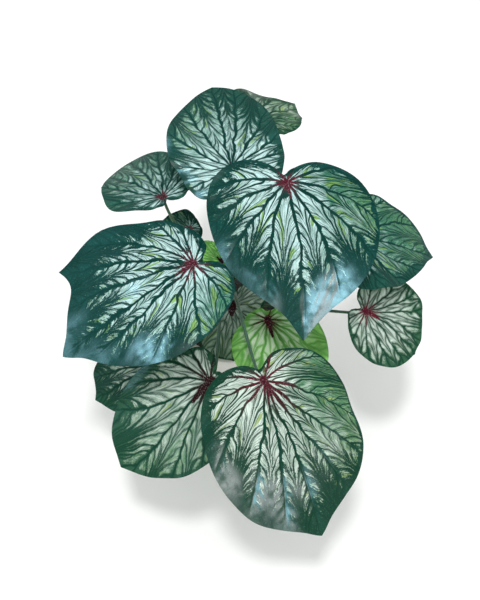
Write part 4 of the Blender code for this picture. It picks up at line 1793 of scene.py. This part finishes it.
@dataclass
class Soil:
    """Crumbly potting mix that fills the pot, a little lower at the wall.

    edge_drop, drop_start: how far the bed falls, and the share of its radius where it starts to
    grid: faces along each side of the bed's grid
    crumbs, crumb_sizes: number of loose crumbs, and their smallest and largest radius
    crumb_reach, crumb_sunk: how far from the middle they lie, and how deep their middles are sunk
    bed_radius: radius of the bed that they lie on
    stalk_room: distance that a crumb's edge keeps from a stalk's middle
    seed: of the crumbs' random places
    """

    edge_drop: float = 3.0
    drop_start: float = 0.52
    grid: int = 120
    crumbs: int = 170
    crumb_sizes: tuple = (0.7, 2.3)
    crumb_reach: float = 54.0
    crumb_sunk: float = 0.5
    bed_radius: float = 58.0
    stalk_room: float = 4.0
    seed: int = 7

    def build(self) -> bpy.types.Object:
        """Model the rough top, pull its sides down inside the pot and close it.

        Returns:
            The soil's object.
        """
        start_fresh()
        bpy.ops.mesh.primitive_grid_add(x_subdivisions=self.grid, y_subdivisions=self.grid,
                                        size=2.0, calc_uvs=False, location=(0, 0, 0))
        soil = bpy.context.object
        soil.name = "potting_mix_bed"
        edge_top = SOIL_TOP - self.edge_drop
        reach = inner_radius(edge_top) - 2 * SEAT
        for vertex in soil.data.vertices:
            x, y, _ = vertex.co
            disc = Vector((x * math.sqrt(1 - y * y / 2), y * math.sqrt(1 - x * x / 2), 0.0))
            spot = disc * reach
            rough = noise.fractal(spot * 0.11, 0.8, 2.1, 5) * 1.3 - 0.9
            rough += noise.noise(spot * 0.55) * 0.45
            rough *= 1.0 - 0.6 * float(ease(disc.length, 0.93, 1.0))
            high = SOIL_TOP - self.drop(disc.length) + rough
            vertex.co = Vector((spot.x, spot.y, high)) * MM
        bottom = inner_radius(POT_FLOOR) - 2 * SEAT
        with editing(soil):
            bpy.ops.mesh.region_to_loop()
            bpy.ops.mesh.extrude_region_move(
                TRANSFORM_OT_translate={"value": (0, 0, (POT_FLOOR + SEAT - edge_top) * MM)})
            bpy.ops.transform.resize(value=(bottom / reach, bottom / reach, 0.0),
                                     center_override=(0, 0, (POT_FLOOR + SEAT) * MM))
            bpy.ops.mesh.edge_face_add()
        merge_and_face_out(soil)
        shade_smooth(SOIL_SMOOTH)
        return soil

    def drop(self, share: float) -> float:
        """How far the bed lies below its middle, at a share of its radius."""
        return self.edge_drop * float(ease(share, self.drop_start, 1.0))

    def scatter(self) -> bpy.types.Object:
        """Lay loose crumbs on the bed, clear of the stalks.

        Returns:
            The crumbs as one object.
        """
        dice = random.Random(self.seed)
        start_fresh()
        bpy.ops.mesh.primitive_ico_sphere_add(subdivisions=2, radius=1.0, location=(0, 0, 0))
        lump = bpy.context.object
        for vertex in lump.data.vertices:
            vertex.co *= 1.0 + 0.35 * noise.noise(vertex.co * 1.7)
            vertex.co.z *= 0.7
        made = []
        roots = [Vector(leaf.root) for leaf in LEAVES]
        while len(made) < self.crumbs:
            spot = Vector([dice.uniform(-self.crumb_reach, self.crumb_reach) for _ in range(2)])
            size = dice.uniform(*self.crumb_sizes)
            clear = min((spot - root).length for root in roots) > self.stalk_room + size
            turn = Euler([dice.uniform(0, math.tau) for _ in range(3)])
            if spot.length > self.crumb_reach or not clear:
                continue
            crumb = lump.copy()
            crumb.data = lump.data.copy()
            bpy.context.collection.objects.link(crumb)
            low = SOIL_TOP - self.drop(spot.length / self.bed_radius) - self.crumb_sunk
            crumb.data.transform(turn.to_matrix().to_4x4())
            for vertex in crumb.data.vertices:
                vertex.co = (vertex.co * size + Vector((*spot, low))) * MM
            made.append(crumb)
        bpy.data.objects.remove(lump, do_unlink=True)
        start_fresh()
        for crumb in made:
            crumb.select_set(True)
        bpy.context.view_layer.objects.active = made[0]
        bpy.ops.object.join()
        heap = bpy.context.object
        heap.name = "potting_mix_crumbs"
        shade_smooth(SOIL_SMOOTH)
        return heap


@dataclass
class Container:
    """The pot filled with soil."""

    pot: Pot = field(default_factory=Pot)
    soil: Soil = field(default_factory=Soil)

    def build(self) -> None:
        """Build and dress the pot, the bed of soil and its loose crumbs."""
        body = self.pot.build()
        body.data.materials.append(PotFinish().make())
        settle(body, "pot")
        mix = SoilFinish().make()
        bed = self.soil.build()
        bed.data.materials.append(mix)
        settle(bed, "soil")
        crumbs = self.soil.scatter()
        crumbs.data.materials.append(mix)
        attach(crumbs, BODY)
        LOG.info("%s: %d faces", crumbs.name, len(crumbs.data.polygons))


# Studio


def hang(name: str, data: bpy.types.ID) -> bpy.types.Object:
    """Put a light or a camera in the scene.

    Args:
        name: the object's name.
        data: the light or camera.

    Returns:
        The new object.
    """
    made = bpy.data.objects.new(name, data)
    bpy.context.scene.collection.objects.link(made)
    return made


@dataclass
class Studio:
    """Pale floor, soft light from the front and above, and the camera.

    SOFT_LIGHTS: each soft light's name, bearing, rise, width, power and colour
    eye, tilt, lens, sensor_height: the camera's place, turn from straight down, and lens
    focus, soft_distance, soft_height: what the soft lights point at, how far off, and their height
    floor_size: width of the floor, in metres
    sun_power, sun_width, sun_turn: the key light's power, and its size and turn in degrees
    air, glossy_air: strength of the surroundings, and what glossy surfaces mirror of it
    """

    SOFT_LIGHTS: ClassVar[tuple] = (
        ("front_soft", 8.0, 32.0, 1.0, 38.0, (0.42, 0.82, 1.0)),
        ("left_soft", -98.0, 34.0, 2.2, 60.0, (0.42, 0.82, 1.0)),
        ("right_soft", 42.0, 28.0, 1.5, 30.0, (0.96, 0.98, 1.0)),
        ("back_soft", 178.0, 44.0, 2.2, 60.0, (0.42, 0.82, 1.0)),
    )

    eye: tuple = (0.0107, -0.7987, 1.5190)
    tilt: float = 30.0
    focus: tuple = (0.02, -0.03, 0.2)
    soft_height: float = 0.95
    soft_distance: float = 2.4
    sensor_height: float = 24.0
    lens: float = 60.0
    floor_size: float = 9.0
    sun_power: float = 1.2
    sun_width: float = 8.0
    sun_turn: tuple = (8.0, -2.0)
    air: float = 0.9
    glossy_air: float = 0.1

    def build(self) -> None:
        """Set up the floor, the lights, the surroundings and the camera."""
        self.lay_floor()
        self.light_up()
        self.surround()
        self.place_camera()
        bpy.context.scene.view_settings.view_transform = "Standard"

    def lay_floor(self) -> None:
        """Lay a wide pale floor just under the pot."""
        start_fresh()
        bpy.ops.mesh.primitive_plane_add(size=self.floor_size, location=(0, 0, 0))
        floor = bpy.context.object
        floor.name = "studio_floor"
        material, sketch, shader = new_material("floor_paper")
        grain = sketch.noise(position(sketch), 1 / 90.0)
        tint = sketch.blend(grain, srgb(252, 252, 251), srgb(247, 247, 246))
        sketch.fill(shader, {"Base Color": tint, "Roughness": 0.9, "Specular IOR Level": 0.1})
        floor.data.materials.append(material)

    def add_light(self, name: str, bearing: float, rise: float, width: float, power: float,
                  colour: Colour) -> None:
        """Hang one soft flat light that only the shiny surfaces mirror.

        Args:
            name: the light's name.
            bearing: where it hangs round the plant, in degrees from the front to the right.
            rise: its height above the plant's foliage, in degrees.
            width: its width, in metres.
            power: its power, in watts.
            colour: its colour.
        """
        data = bpy.data.lights.new(name, "AREA")
        data.shape = "RECTANGLE"
        data.size, data.size_y = width, self.soft_height
        data.energy = power
        data.color = colour
        light = hang(name, data)
        turn, lift = math.radians(bearing), math.radians(rise)
        way = Vector((math.sin(turn) * math.cos(lift), -math.cos(turn) * math.cos(lift),
                      math.sin(lift)))
        light.location = Vector(self.focus) + way * self.soft_distance
        light.rotation_euler = (-way).to_track_quat("-Z", "Y").to_euler()
        light.visible_diffuse = False
        light.visible_camera = False

    def light_up(self) -> None:
        """Hang the key light and the soft lights that the shiny blades mirror."""
        data = bpy.data.lights.new("key_sun", "SUN")
        data.energy = self.sun_power
        data.angle = math.radians(self.sun_width)
        key = hang("key_sun", data)
        key.rotation_euler = (*(math.radians(turn) for turn in self.sun_turn), 0.0)
        for light in self.SOFT_LIGHTS:
            self.add_light(*light)

    def surround(self) -> None:
        """Give the room an even pale light that the gloss hardly mirrors."""
        world = bpy.data.worlds.new("studio_air")
        bpy.context.scene.world = world
        world.use_nodes = True
        sketch = NodeSketch(world.node_tree)
        glossy = sketch.wired(sketch.node("ShaderNodeLightPath"), {}, "Is Glossy Ray")
        air = world.node_tree.nodes["Background"]
        strength = sketch.between(glossy, self.air, self.glossy_air)
        sketch.fill(air, {"Color": (1.0, 1.0, 1.0), "Strength": strength})

    def place_camera(self) -> None:
        """Put the camera at the photograph's viewing angle."""
        data = bpy.data.cameras.new("studio_camera")
        data.sensor_fit = "VERTICAL"
        data.sensor_height = self.sensor_height
        data.lens = self.lens
        camera = hang("studio_camera", data)
        camera.location = self.eye
        camera.rotation_euler = (math.radians(self.tilt), 0.0, 0.0)
        bpy.context.scene.camera = camera


def main() -> None:
    """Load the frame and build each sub-assembly."""
    logging.basicConfig(level=logging.INFO, format="%(message)s")
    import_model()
    Studio().build()
    LOG.info("studio ready")
    Container().build()
    Foliage(LEAVES).build()
    start_fresh()
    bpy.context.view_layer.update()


if __name__ == "__main__":
    main()
